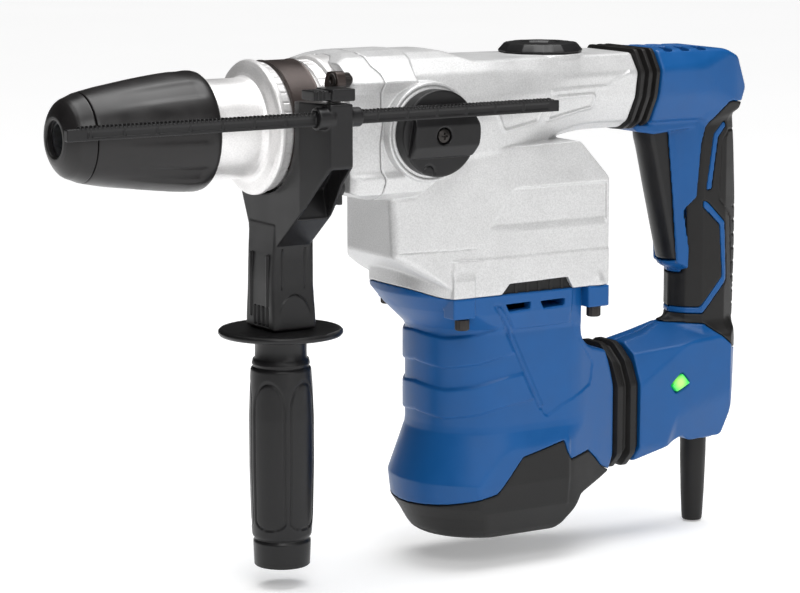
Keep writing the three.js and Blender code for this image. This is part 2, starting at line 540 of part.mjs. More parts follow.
// ---- rear handle --------------------------------------------------------------------------
const TOP_SIDE = [[398.3, 297], [452, 296], [464, 291], [474, 270], [468, 258], [452, 249],
  [398.3, 249]];
const GRIP_SIDE = [[424, 252], [468, 262], [473, 232], [475.5, 197], [HANDLE_REAR_X, 160],
  [474, 118], [466, 96], [424, 96], [424, 120], [430, 130], [430, 156], [424, 162]];
const ARM_SIDE = [[386.3, 112], [422, 122], [470, 122], [474, 104], [469, 78], [460, 46],
  [431, 46], [425, 50], [386.3, 37]];
function handleBody(wall) {
  const top = meet(slab(inset(TOP_SIDE, wall), 'y', -40, 40),
    slab(inset(mirroredY([[398.3, -31], [440, -29], [476, -18]]), wall), 'z', 200, 320),
    slab(inset(ARM_FRONT, wall), 'x', 390, 480));
  const grip = meet(slab(inset(GRIP_SIDE, wall), 'y', -40, 40),
    slab(rounded(inset(mirroredY([[415, -12, 6], [424, -17.5, 8], [460, -17.5, 14],
      [478, -7, 6]]), wall), 6), 'z', 80, 270));
  const arm = meet(slab(inset(ARM_SIDE, wall), 'y', -40, 40),
    slab(rounded(inset(mirroredY([[386.3, -29, 1], [425, -27, 10], [460, -25, 14],
      [476, -10, 6]]), wall), 6), 'z', 20, 140));
  return [top, grip, arm];
}
const OVERMOLD_SIDE = [[455, 258], [490, 262], [490, 100], [463, 104], [452, 121], [415, 123],
  [415, 151], [446, 151], [447, 205], [455, 214]];
const RUBBER_SKIN = 2.6;
const TRIGGER_SIDE = [[405, 243], [419.5, 243], [430, 166], [424.5, 160.5]];
const TRIGGER_HALF = 10.5;
const LENS_OUTLINE = [[414, 86], [420, 91.5], [427, 86], [422, 80]];

const handleSolid = join(...handleBody(0));
const handleHollow = join(...handleBody(RUBBER_SKIN + 3));
const rubberZone = slab(OVERMOLD_SIDE, 'y', -40, 40);
const triggerSlot = slab([[400, 244], [425, 244], [441, 158], [415, 158]], 'y',
  -TRIGGER_HALF - GAP, TRIGGER_HALF + GAP);
function handleShell() {
  const skin = cut(slab(inset(OVERMOLD_SIDE, -GAP), 'y', -40, 40),
    join(...handleBody(RUBBER_SKIN + GAP)));
  return cut(handleSolid, handleHollow, skin, triggerSlot,
    disc(12, 370, 410, { at: [0, 0, 273], segments: 20 }),
    block(380, 400, -16, 16, 54, 96),
    disc(8.8, 20, 60, around(BOOT_X, 0)),
    disc(11.4, 54.9, 63, around(BOOT_X, 0)),
    slab(inset(LENS_OUTLINE, -GAP), 'y', -40, -15));
}
const shell = handleShell();
part('handle_shell_right', meet(shell, block(380, 490, -50, -0.15, 20, 310)), BLUE);
part('handle_shell_left', meet(shell, block(380, 490, 0.15, 50, 20, 310)), BLUE);
part('handle_overmold', cut(meet(handleSolid, rubberZone), join(...handleBody(RUBBER_SKIN))),
  RUBBER);
part('trigger', cut(slab(rounded(TRIGGER_SIDE, 3), 'y', -TRIGGER_HALF, TRIGGER_HALF),
  slab([[411, 239], [421, 239], [431, 172], [425, 172]], 'y', -8, 8)), BLACK);
part('trigger_switch', join(block(440, 459, -9, 9, 180, 232),
  block(437.5, 441, -4, 4, 190, 198)), BLACK);
part('status_lens', slab(LENS_OUTLINE, 'y', -27.6, -22.5), LENS);
part('cable_boot', turned([[4, -12], [6, -12], [6.5, -11], [8.4, 44], [8.4, 55.3], [11, 55.5],
  [11, 60], [4, 60]], around(BOOT_X, 0)), RUBBER);

// Folded rubber sleeves that close the gap between the body and the sprung handle.
function bellows(outline, from, to, folds) {
  const pitch = (to - from) / folds;
  const layer = (grow, a, b) => slab(inset(outline, grow), 'x', a, b);
  const ribs = Array.from({ length: folds }, (_, k) => layer(0, from + pitch * k,
    from + pitch * (k + 0.62)));
  return cut(join(layer(3, from, to), ...ribs), layer(6.5, from - 1, to + 1));
}
const LOWER_RIM = mirrored([[0, 112], [-20, 112], [-28.5, 103], [-28.5, 46], [-20, 37], [0, 37]]);
const UPPER_RIM = mirrored([[0, 296.5], [-23, 296.5], [-30, 286], [-30, 268], [-21, 251],
  [0, 250]]);
part('upper_bellows', bellows(UPPER_RIM, ARM_REAR_X + GAP, ARM_REAR_X + BELLOWS_LENGTH, 3), RUBBER);
part('lower_bellows', bellows(LOWER_RIM, 366.3, 386, 2), RUBBER);
part('handle_spring', coilSpring(9, 1.2, 4, ARM_REAR_X - 3.5, 401, [0, 273]), STEEL);

// ---- side handle --------------------------------------------------------------------------
const CLAMP_MID = (CLAMP_FRONT + CLAMP_REAR) / 2;
part('strap_band', cut(ring(CLAMP_R + GAP, 38, CLAMP_FRONT, CLAMP_REAR, { segments: 32 }),
  slab([[0, AXIS_Z], [-60, 210], [60, 210]], 'x', 120, 170)), DARK_STEEL);
function clampBracket() {
  const fork = slab(mirrored([[0, 146], [-15, 146], [-15, 202], [-24, 222], [-50, 240], [-50, 280],
    [-38.6, 280], [0, 280]]), 'x', CLAMP_FRONT, CLAMP_REAR);
  const column = slab(rounded([[GRIP_X - 14.5, -16], [GRIP_X + 14.5, -16], [GRIP_X + 14.5, 16],
    [GRIP_X - 14.5, 16]], 5), 'z', 143.5, 206);
  const holder = block(133.2, 152.4, -72, -40, 244, 280);
  const collars = disc(6, 131, 163, { at: [0, ROD_Y, ROD_Z], segments: 16 });
  const pockets = [-1, 1].map((sign) => slab([[sign * 20, 208], [sign * 28, 218], [sign * 52, 236],
    [sign * 52, 222], [sign * 24, 200]], 'x', 141, 154));
  return cut(join(fork, column, holder, collars),
    disc(38 + GAP, 120, 170, { segments: 32 }),
    block(120, 170, -38.3, 38.3, AXIS_Z, 300),
    block(120, 170, 30, 60, 252, 300),
    block(120, 175, ROD_Y - 2.3, ROD_Y + 2.3, ROD_Z - 4.3, ROD_Z + 4.3),
    disc(4.3, 130, 230, around(GRIP_X, 0, 16)),
    ...pockets);
}
part('clamp_bracket', clampBracket(), BLACK);
part('clamp_bolt', turned([[0, 145], [4.6, 145], [4.6, 153], [2.5, 153.3], [2.5, 163], [0, 163]],
  { at: [0, -47, 287], segments: 16 }), DARK_STEEL);
part('depth_lever', cut(join(block(136, 151, -70, -52, 281.4, 288), block(123, 137, -68, -54, 283, 288)),
  ...[124.5, 127.5, 130.5].map((x) => block(x, x + 1.2, -80, -40, 287, 290))), BLACK);

const GRIP_AXIS = { axis: 'z', at: [GRIP_X, 0, 0] };
part('side_grip', turned([[0, 0], [16, 0], [16.8, 1.5], [17, 14], [16, 18], [17.5, 20],
  [19.2, 60], [19.3, 90], [18.4, 116], [15.5, 122], [16.2, 132], [17, 137], [36.5, 138.5],
  [36.8, 140.5], [36, 142.6], [4.3, 142.6], [4.3, 60], [0, 60]], GRIP_AXIS),
BLACK);
part('grip_stud', disc(4, 60.5, 206, { ...GRIP_AXIS, segments: 16 }), STEEL);

// A flat bar with saw teeth along its upper edge.
const ROD_FRONT = -24;
const ROD_REAR = 295;
const TOOTH_PITCH = 5;
function depthRod() {
  const teeth = Math.floor((ROD_REAR - ROD_FRONT - 8) / TOOTH_PITCH);
  const top = Array.from({ length: teeth }, (_, k) => {
    const x = ROD_REAR - 4 - k * TOOTH_PITCH;
    return [[x, ROD_Z + 3], [x - TOOTH_PITCH / 2, ROD_Z + 4]];
  }).flat();
  return slab([[ROD_FRONT, ROD_Z - 4], [ROD_REAR, ROD_Z - 4], [ROD_REAR, ROD_Z + 3.9], ...top,
    [ROD_FRONT + 4, ROD_Z + 3], [ROD_FRONT, ROD_Z + 3]], 'y', ROD_Y - 2, ROD_Y + 2);
}
part('depth_rod', depthRod(), BLACK);

// The origin is the middle of the underside of the whole hammer.
const extent = new THREE.Box3().setFromObject(hammer);
const middle = extent.getCenter(new THREE.Vector3());
hammer.position.set(-middle.x, -middle.y, -extent.min.z);

export default hammer;
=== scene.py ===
"""Electric combination hammer in a plain studio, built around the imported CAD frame.

Shapes are drawn in design millimetres: x runs from the mouth of the chuck to the rear handle, y away
from the mode knob and z up from the end of the side grip. The tool axis is the line y = 0, z = AXIS_Z.
"""
import json
import math

import bmesh
import bpy
import numpy as np
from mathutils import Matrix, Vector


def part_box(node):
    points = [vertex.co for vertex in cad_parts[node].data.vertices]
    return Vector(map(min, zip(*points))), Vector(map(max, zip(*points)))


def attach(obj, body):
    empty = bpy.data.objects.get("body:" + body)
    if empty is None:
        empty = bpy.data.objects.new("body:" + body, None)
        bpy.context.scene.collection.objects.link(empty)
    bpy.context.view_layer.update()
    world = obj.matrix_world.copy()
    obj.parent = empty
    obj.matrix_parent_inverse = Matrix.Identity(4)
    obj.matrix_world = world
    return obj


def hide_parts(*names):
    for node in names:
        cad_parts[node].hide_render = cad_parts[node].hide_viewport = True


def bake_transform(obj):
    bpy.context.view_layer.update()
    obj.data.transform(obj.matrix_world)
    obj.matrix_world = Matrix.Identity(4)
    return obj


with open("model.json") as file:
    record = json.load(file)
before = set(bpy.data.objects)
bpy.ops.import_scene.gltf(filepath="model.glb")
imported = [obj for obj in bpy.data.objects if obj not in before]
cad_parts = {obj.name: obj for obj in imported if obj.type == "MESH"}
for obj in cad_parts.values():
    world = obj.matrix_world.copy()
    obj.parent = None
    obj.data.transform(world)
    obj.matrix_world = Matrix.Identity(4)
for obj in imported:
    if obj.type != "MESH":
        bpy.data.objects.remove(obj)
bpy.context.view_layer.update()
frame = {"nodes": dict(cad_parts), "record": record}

import openvdb
from mathutils import Vector

COARSENESS = 1.0

# ---- driving dimensions, in design millimetres ----
AXIS_Z = 262.0
KNOB_X, KNOB_Z = 219.0, 258.0
CAP_X = 328.0
MOTOR_X = 281.0
GRIP_X = 144.0
BOOT_X = 451.0
SCREW_XS = (244.0, 340.0)
SCREW_Y = 42.0
ROD_Y, ROD_Z = -66.0, 272.0
AXIS = (0, 0, AXIS_Z)
KNOB_AT = (KNOB_X, 0, KNOB_Z)
CAP_AT = (CAP_X, 0, 0)
MOTOR_AT = (MOTOR_X, 0, 0)
GRIP_AT = (GRIP_X, 0, 0)
BOOT_AT = (BOOT_X, 0, 0)
ROD_AT = (0, ROD_Y, ROD_Z)
CLAMP_FRONT, CLAMP_REAR = 131.9, 155.3
STRAP_FRONT, STRAP_REAR = 133.2, 152.4

# The design's zero point comes from the nose cap, whose mouth is at x = 0 on the tool axis.
NOSE_LOW, NOSE_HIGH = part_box("nose_cap")
ORIGIN = np.array([
    NOSE_LOW.x * 1000,
    (NOSE_LOW.y + NOSE_HIGH.y) * 500,
    (NOSE_LOW.z + NOSE_HIGH.z) * 500 - AXIS_Z,
])


def place(points):
    """Design millimetres to row-frame metres."""
    return (np.asarray(points, float) + ORIGIN) / 1000


# ---- outlines ----
def rounded(points, size, steps=3, closed=True):
    """Corners replaced by short curves; a point's third number is its own corner size."""
    result = []
    last = len(points) - 1
    for i, (u, v, *own) in enumerate(points):
        if not closed and i in (0, last):
            result.append((u, v))
            continue
        corner = np.array([u, v])
        before = np.array(points[i - 1][:2]) - corner
        after = np.array(points[(i + 1) % len(points)][:2]) - corner
        long_before, long_after = np.hypot(*before), np.hypot(*after)
        reach = min(own[0] if own else size, long_before / 2.02, long_after / 2.02)
        if reach < 0.05:
            result.append((u, v))
            continue
        start, end = corner + before / long_before * reach, corner + after / long_after * reach
        for t in np.linspace(0, 1, steps + 1):
            result.append(tuple(start * (1 - t) ** 2 + corner * 2 * t * (1 - t) + end * t * t))
    return result


def mirrored(half):
    """A half outline completed across u = 0."""
    return list(half) + [(-u, *rest) for u, *rest in reversed(half) if u != 0]


def mirrored_y(half):
    """A half outline completed across v = 0."""
    return list(half) + [(u, -v, *rest) for u, v, *rest in reversed(half)]


def outline(points, u, v, size=0.0):
    """Distance from the edge of an outline, below zero inside it."""
    points = rounded(points, size) if size else [p[:2] for p in points]
    nearest = np.float32(1e9)
    inside = np.zeros(np.broadcast(u, v).shape, bool)
    for (u0, v0), (u1, v1) in zip(points, points[1:] + points[:1]):
        du, dv = u1 - u0, v1 - v0
        share = np.clip(((u - u0) * du + (v - v0) * dv) / (du * du + dv * dv), 0, 1)
        nearest = np.minimum(nearest, (u - u0 - share * du) ** 2 + (v - v0 - share * dv) ** 2)
        if dv:
            inside ^= ((v0 <= v) != (v1 <= v)) & (u - u0 < (v - v0) * (du / dv))
    return np.where(inside, -1, 1).astype(np.float32) * np.sqrt(nearest)


# ---- solids as distance fields ----
def join(a, b, fillet=0.0):
    if not fillet:
        return np.minimum(a, b)
    return np.maximum(fillet, np.minimum(a, b)) - np.hypot(
        np.maximum(fillet - a, 0), np.maximum(fillet - b, 0))


def meet(a, b, fillet=0.0):
    return -join(-a, -b, fillet)


def cut(a, b, fillet=0.0):
    return meet(a, -b, fillet)


def ramp(value, low, high):
    """0 before low, 1 after high, smooth between."""
    share = np.clip((value - low) / (high - low), 0, 1)
    return share * share * (3 - 2 * share)


def bars(value, pitch, half):
    """Bars across a direction, one in each pitch, `half` wide to each side."""
    return np.abs(np.mod(value, pitch) - pitch / 2) - half


def interp(value, stations, values):
    """A table read between its entries, in single precision."""
    return np.interp(value, stations, values).astype(np.float32)


class Space:
    """A grid of points around a box, on which shapes are drawn as distances to their surface."""

    def __init__(self, low, high, step):
        self.step = step * COARSENESS
        self.low = np.array(low, float) - 3 * self.step
        counts = np.ceil((np.array(high) - self.low) / self.step).astype(int) + 4
        self.shape = tuple(counts)
        self.x, self.y, self.z = (
            (self.low[i] + self.step * np.arange(counts[i], dtype=np.float32)).astype(
                np.float32).reshape([-1 if j == i else 1 for j in range(3)])
            for i in range(3))

    def side(self, points, size=0.0):
        return outline(points, self.x, self.z, size)

    def plan(self, points, size=0.0):
        return outline(points, self.x, self.y, size)

    def front(self, points, size=0.0):
        return outline(points, self.y, self.z, size)

    def band(self, axis, low, high):
        values = getattr(self, axis)
        return np.abs(values - (low + high) / 2) - (high - low) / 2

    def block(self, x0, x1, y0, y1, z0, z1, fillet=0.0):
        return meet(meet(self.band("x", x0, x1), self.band("y", y0, y1), fillet),
                    self.band("z", z0, z1), fillet)

    def polar(self, k, at):
        """Distances from a line through `at` in direction k, and distances along it."""
        grids = [grid - start for grid, start in zip((self.x, self.y, self.z), at)]
        along = grids.pop(k)
        return np.sqrt(grids[0] ** 2 + grids[1] ** 2), along

    def turned(self, profile, axis, at, size=0.0):
        """A profile of (radius, distance along the axis) turned about a line through `at`."""
        k = "xyz".index(axis)
        radius, along = self.polar(k, at)
        radius, along = np.squeeze(radius, axis=k), along.reshape(-1, 1)
        fine = self.step / 2
        levels = np.arange(0, radius.max() + 2 * fine, fine, dtype=np.float32)
        deep = [(v, u if u else -60.0) for u, v in profile]
        table = outline(deep, along, levels.reshape(1, -1), size)
        cell = radius / fine
        lower = cell.astype(np.int32)
        share = (cell - lower).astype(np.float32)
        values = table[:, lower] * (1 - share) + table[:, lower + 1] * share
        return np.moveaxis(values, 0, k)

    def disc(self, radius, low, high, axis, at, fillet=0.0):
        across, along = self.polar("xyz".index(axis), at)
        return meet(across - radius, np.abs(along - (low + high) / 2) - (high - low) / 2, fillet)


# ---- pieces ----
def mesh_from(name, points, faces):
    """A mesh from design points and faces of three or four corners, as arrays."""
    mesh = bpy.data.meshes.new(name)
    corners = faces.shape[1]
    mesh.vertices.add(len(points))
    mesh.vertices.foreach_set("co", place(points).astype(np.float32).ravel())
    mesh.loops.add(len(faces) * corners)
    mesh.loops.foreach_set("vertex_index", faces.astype(np.int32).ravel())
    mesh.polygons.add(len(faces))
    mesh.polygons.foreach_set("loop_start", np.arange(0, len(faces) * corners, corners, dtype=np.int32))
    mesh.update(calc_edges=True)
    mesh.validate()
    return mesh


def piece(name, mesh, material, body, nodes=()):
    """A finished object in one finish that rides on a body and stands for CAD nodes."""
    obj = bpy.data.objects.new(name, mesh)
    bpy.context.scene.collection.objects.link(obj)
    mesh.materials.clear()
    mesh.materials.append(material)
    mesh.shade_smooth()
    obj.modifiers.new("even_shading", "WEIGHTED_NORMAL").keep_sharp = True
    if body:
        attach(obj, body)
    if nodes:
        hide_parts(*nodes)
    return obj


def thinned(mesh, faces):
    """The mesh with flat stretches in fewer triangles, at most about `faces` of them."""
    triangles = sum(len(p.vertices) - 2 for p in mesh.polygons)
    if triangles <= faces:
        return mesh
    carrier = bpy.data.objects.new("thinning", mesh)
    bpy.context.scene.collection.objects.link(carrier)
    carrier.modifiers.new("thin", "DECIMATE").ratio = faces / triangles
    bpy.context.view_layer.update()
    fewer = bpy.data.meshes.new_from_object(
        carrier.evaluated_get(bpy.context.evaluated_depsgraph_get()))
    bpy.data.objects.remove(carrier)
    return fewer


def skin(name, space, field, material, body, nodes=(), faces=60000):
    """The zero surface of a field, as a piece."""
    reach = 3 * space.step
    full = np.clip(np.broadcast_to(field, space.shape), -reach, reach).astype(np.float32)
    grid = openvdb.FloatGrid(float(reach))
    grid.copyFromArray(np.ascontiguousarray(full))
    points, quads = grid.convertToQuads(isovalue=0.0)
    mesh = mesh_from(name, points * space.step + space.low, quads)
    return piece(name, thinned(mesh, faces / COARSENESS), material, body, nodes)


def grid_faces(rows, columns, loop_rows=True, loop_columns=True):
    """Quads between the points of a grid that is counted row by row."""
    row = np.arange(rows if loop_rows else rows - 1)[:, None]
    col = np.arange(columns if loop_columns else columns - 1)[None, :]
    here, above, right = row * columns, (row + 1) % rows * columns, (col + 1) % columns
    return np.stack([here + col, here + right, above + right, above + col], -1).reshape(-1, 4)


def finish_mesh(work, mesh):
    """Faces turned outwards and written to the mesh."""
    bmesh.ops.recalc_face_normals(work, faces=work.faces)
    work.to_mesh(mesh)
    work.free()


def turned(name, profile, axis, at, material, body, nodes, segments, size=0.0, wave=None,
           span=(0.0, 360.0)):
    """A piece turned from (radius, distance along) points; `wave` changes radii round the turn."""
    closed = profile[0][0] > 0
    if size:
        profile = rounded(profile, size, closed=closed)
    radii = np.array([p[0] for p in profile])
    along = np.array([p[1] for p in profile])
    whole = span[1] - span[0] >= 360
    angles = np.radians(np.linspace(span[0], span[1], segments, endpoint=not whole))
    grid_r = np.repeat(radii[:, None], len(angles), 1)
    if wave:
        grid_r = wave(angles[None, :], grid_r, along[:, None])
    across_a, across_b = grid_r * np.cos(angles), grid_r * np.sin(angles)
    length = np.repeat(along[:, None], len(angles), 1)
    parts = {"x": (length, across_a, across_b), "y": (across_b, length, across_a),
             "z": (across_a, across_b, length)}[axis]
    points = np.stack(parts, -1).reshape(-1, 3) + np.asarray(at, float)
    mesh = mesh_from(name, points, grid_faces(len(profile), segments, closed, whole))
    work = bmesh.new()
    work.from_mesh(mesh)
    bmesh.ops.remove_doubles(work, verts=work.verts, dist=1e-6)
    if not whole:
        bmesh.ops.holes_fill(work, edges=[e for e in work.edges if e.is_boundary], sides=0)
    finish_mesh(work, mesh)
    piece(name, mesh, material, body, nodes)


def plate_mesh(name, outline_yz, low, high, bevel):
    """A plate across x with eased edges."""
    work = bmesh.new()
    ends = [[work.verts.new(place((x, y, z))) for y, z in outline_yz] for x in (low, high)]
    work.faces.new(ends[0])
    work.faces.new(list(reversed(ends[1])))
    for i in range(len(outline_yz)):
        j = (i + 1) % len(outline_yz)
        work.faces.new([ends[0][j], ends[0][i], ends[1][i], ends[1][j]])
    bmesh.ops.recalc_face_normals(work, faces=work.faces)
    sharp = [e for e in work.edges if e.calc_face_angle(0) > math.radians(25)]
    bmesh.ops.bevel(work, geom=sharp, offset=bevel / 1000, segments=2, profile=0.7, affect="EDGES",
                    clamp_overlap=True)
    mesh = bpy.data.meshes.new(name)
    work.to_mesh(mesh)
    work.free()
    return mesh


# ---- materials ----
SPECKLE_MM = 0.9


def set_inputs(node, **values):
    """Sockets of a node set by name, with _ for a space."""
    for socket, value in values.items():
        node.inputs[socket.replace("_", " ")].default_value = value


def surface(name, color, roughness, metallic=0.0, grain=0.15, grain_mm=0.5, mottle=0.06, mottle_mm=14.0,
            speckle=0.0, uneven=0.05, coat=0.0, specular=0.5):
    """A moulded or cast finish: colour that drifts and sparkles, uneven gloss and a fine grain."""
    mat = bpy.data.materials.new(name)
    mat.use_nodes = True
    nodes, links = mat.node_tree.nodes, mat.node_tree.links
    shader = nodes["Principled BSDF"]
    set_inputs(shader, Metallic=metallic, Coat_Weight=coat, Coat_Roughness=0.25,
               Specular_IOR_Level=specular)
    place_node = nodes.new("ShaderNodeTexCoord")

    def noise(size_mm, detail=2.0):
        node = nodes.new("ShaderNodeTexNoise")
        set_inputs(node, Scale=1000 / size_mm, Detail=detail)
        links.new(place_node.outputs["Object"], node.inputs["Vector"])
        return node.outputs["Fac"]

    def spread(value, low, high):
        node = nodes.new("ShaderNodeMapRange")
        set_inputs(node, From_Min=0.3, From_Max=0.7, To_Min=low, To_Max=high)
        links.new(value, node.inputs["Value"])
        return node.outputs["Result"]

    def times(a, b):
        node = nodes.new("ShaderNodeMath")
        node.operation = "MULTIPLY"
        links.new(a, node.inputs[0])
        links.new(b, node.inputs[1])
        return node.outputs["Value"]

    drift = noise(mottle_mm, 3.0)
    brightness = spread(drift, 1 - mottle, 1 + mottle)
    if speckle:
        brightness = times(brightness, spread(noise(SPECKLE_MM, 1.0), 1 - speckle, 1 + speckle))
    tint = nodes.new("ShaderNodeVectorMath")
    tint.operation = "SCALE"
    tint.inputs[0].default_value = color
    links.new(brightness, tint.inputs["Scale"])
    links.new(tint.outputs["Vector"], shader.inputs["Base Color"])
    fine = noise(grain_mm)
    links.new(spread(drift, roughness - uneven, roughness + uneven), shader.inputs["Roughness"])
    bump = nodes.new("ShaderNodeBump")
    set_inputs(bump, Strength=grain, Distance=0.0002)
    links.new(fine, bump.inputs["Height"])
    links.new(bump.outputs["Normal"], shader.inputs["Normal"])
    return mat


CAST = surface("cast_aluminium", (0.62, 0.62, 0.62), 0.40, 0.35, grain=0.5, grain_mm=0.8, mottle=0.025,
               speckle=0.09)
NECK = surface("turned_aluminium", (0.80, 0.79, 0.785), 0.34, 0.5, grain=0.25, grain_mm=0.6, speckle=0.06)
BLUE = surface("blue_moulding", (0.0055, 0.082, 0.268), 0.38, grain=0.10, grain_mm=0.6, mottle=0.04,
               specular=0.3)
BLACK = surface("black_moulding", (0.0105, 0.0102, 0.0108), 0.36, grain=0.2, mottle=0.12, specular=0.32)
BASE = surface("base_moulding", (0.0095, 0.0092, 0.0090), 0.5, grain=0.5, grain_mm=0.45, mottle=0.15,
               specular=0.32)
RUBBER = surface("soft_rubber", (0.0100, 0.0093, 0.0090), 0.46, grain=0.25, grain_mm=0.4, mottle=0.15,
                 specular=0.3)
SLEEVE = surface("sleeve_rubber", (0.0110, 0.0100, 0.0102), 0.34, grain=0.1, grain_mm=0.6, mottle=0.2,
                 specular=0.36)
STRAP = surface("strap_steel", (0.060, 0.046, 0.042), 0.34, 0.55, grain=0.12, mottle=0.15)
DARK_STEEL = surface("black_oxide_steel", (0.035, 0.031, 0.029), 0.36, 0.7, grain=0.1, mottle=0.2)
STEEL = surface("ground_steel", (0.50, 0.51, 0.53), 0.3, 1.0, grain=0.1, grain_mm=0.3, mottle=0.08)
POLISHED = surface("bearing_steel", (0.60, 0.61, 0.63), 0.16, 1.0, grain=0.04, mottle=0.06)
CORE = surface("varnished_core", (0.07, 0.07, 0.08), 0.4, 0.6, grain=0.4, mottle=0.2)
COPPER = surface("enamelled_copper", (0.52, 0.21, 0.08), 0.32, 0.9, grain=0.5, grain_mm=0.7, mottle=0.2)
BRASS = surface("stamped_brass", (0.58, 0.42, 0.17), 0.3, 1.0, grain=0.1, mottle=0.12)


def lit_lens():
    """The green lens, brightest in its middle."""
    mat = surface("lit_lens", (0.03, 0.55, 0.05), 0.2, grain=0.02, mottle=0.1, coat=0.6)
    nodes, links = mat.node_tree.nodes, mat.node_tree.links
    shader = nodes["Principled BSDF"]
    where = nodes.new("ShaderNodeTexCoord")
    centre = nodes.new("ShaderNodeVectorMath")
    centre.operation = "DISTANCE"
    centre.inputs[1].default_value = place([[418.6, -27.5, 85.8]])[0]
    links.new(where.outputs["Object"], centre.inputs[0])
    glow = nodes.new("ShaderNodeValToRGB")
    stops = ((0.50, 1.0, 0.16, 1), 0.25), ((0.0, 0.26, 0.04, 1), 0.75)
    for element, (color, position) in zip(glow.color_ramp.elements, stops):
        element.color, element.position = color, position
    scaled = nodes.new("ShaderNodeMath")
    scaled.operation = "MULTIPLY"
    scaled.inputs[1].default_value = 140
    links.new(centre.outputs["Value"], scaled.inputs[0])
    links.new(scaled.outputs["Value"], glow.inputs["Fac"])
    links.new(glow.outputs["Color"], shader.inputs["Emission Color"])
    set_inputs(shader, Emission_Strength=1.1)
    return mat


LENS = lit_lens()

SLOT_MATERIALS = {
    "cast_aluminium": CAST, "blue_plastic": BLUE, "black_plastic": BLACK, "base_plastic": BASE,
    "black_rubber": RUBBER, "machined_steel": STEEL, "bearing_steel": POLISHED, "dark_steel": DARK_STEEL,
    "core_steel": CORE, "winding_copper": COPPER, "contact_brass": BRASS, "lens_green": LENS,
}
SLOT_OF = {material.name: slot for slot, material in SLOT_MATERIALS.items()}
SLOT_OF |= {NECK.name: "cast_aluminium", SLEEVE.name: "black_rubber", STRAP.name: "dark_steel"}


def dress_frame():
    """Every CAD node takes the finish of its slot in the record."""
    for row in frame["record"]["subparts"]:
        mesh = frame["nodes"][row["node"]].data
        mesh.materials.clear()
        mesh.materials.append(SLOT_MATERIALS[row["material_slot"]])


# ---- camera, floor and light ----
CAMERA_YAW, CAMERA_PITCH = -32.0, 9.3
CAMERA_AT = (-686.9, -1462.2, 436.3)
CAMERA_LENS = 130.5


def aimed(name, data, at, towards):
    """A camera or lamp at a place in the row frame, looking along `towards`."""
    obj = bpy.data.objects.new(name, data)
    obj.location = at
    obj.rotation_mode = "QUATERNION"
    obj.rotation_quaternion = towards.to_track_quat("-Z", "Y")
    bpy.context.scene.collection.objects.link(obj)
    return obj


def softbox(name, at, size, power):
    light = bpy.data.lights.new(name, "AREA")
    light.shape = "RECTANGLE"
    light.size, light.size_y = size
    light.energy = power
    aimed(name, light, at, Vector((0, 0, 0.17)) - Vector(at))


def studio():
    yaw, pitch = math.radians(CAMERA_YAW), math.radians(CAMERA_PITCH)
    back = Vector((math.sin(yaw) * math.cos(pitch), -math.cos(yaw) * math.cos(pitch), math.sin(pitch)))
    data = bpy.data.cameras.new("camera")
    data.sensor_width = 36
    data.lens = CAMERA_LENS
    data.clip_end = 100
    bpy.context.scene.camera = aimed("camera", data, place(CAMERA_AT), -back)

    floor_mesh = bpy.data.meshes.new("floor")
    work = bmesh.new()
    bmesh.ops.create_circle(work, cap_ends=True, segments=96, radius=9.0)
    work.to_mesh(floor_mesh)
    work.free()
    paper = surface("pale_floor", (0.86, 0.86, 0.86), 0.75, grain=0.02, mottle=0.004, mottle_mm=400,
                    uneven=0.02, specular=0.2)
    set_inputs(paper.node_tree.nodes["Principled BSDF"], Emission_Color=(1, 1, 1, 1),
               Emission_Strength=0.32)
    floor_mesh.materials.append(paper)
    floor = bpy.data.objects.new("floor", floor_mesh)
    floor.location.z = -0.001
    bpy.context.scene.collection.objects.link(floor)

    world = bpy.data.worlds.new("studio")
    world.use_nodes = True
    nodes, links = world.node_tree.nodes, world.node_tree.links
    direction = nodes.new("ShaderNodeTexCoord")
    towards = nodes.new("ShaderNodeVectorMath")
    towards.operation = "DOT_PRODUCT"
    towards.inputs[1].default_value = Vector((0.30, -0.50, 0.78)).normalized()
    links.new(direction.outputs["Generated"], towards.inputs[0])
    glow = nodes.new("ShaderNodeMapRange")
    set_inputs(glow, From_Min=-0.7, From_Max=1.0, To_Min=0.30, To_Max=1.65)
    links.new(towards.outputs["Value"], glow.inputs["Value"])
    links.new(glow.outputs["Result"], nodes["Background"].inputs["Strength"])
    bpy.context.scene.world = world
    bpy.context.scene.view_settings.view_transform = "Standard"

    softbox("overhead", (0.15, 0.0, 1.5), (1.3, 0.9), 10)
    softbox("front_right", (0.3, -1.9, 0.8), (1.2, 1.0), 7)
    softbox("front_left", (-0.75, -1.5, 1.5), (1.0, 0.8), 13)
    sky = bpy.data.lights.new("sky", "SUN")
    sky.energy = 2.2
    sky.angle = math.radians(60)
    aimed("sky", sky, (0, 0, 0), Vector((0, 0, -1)))


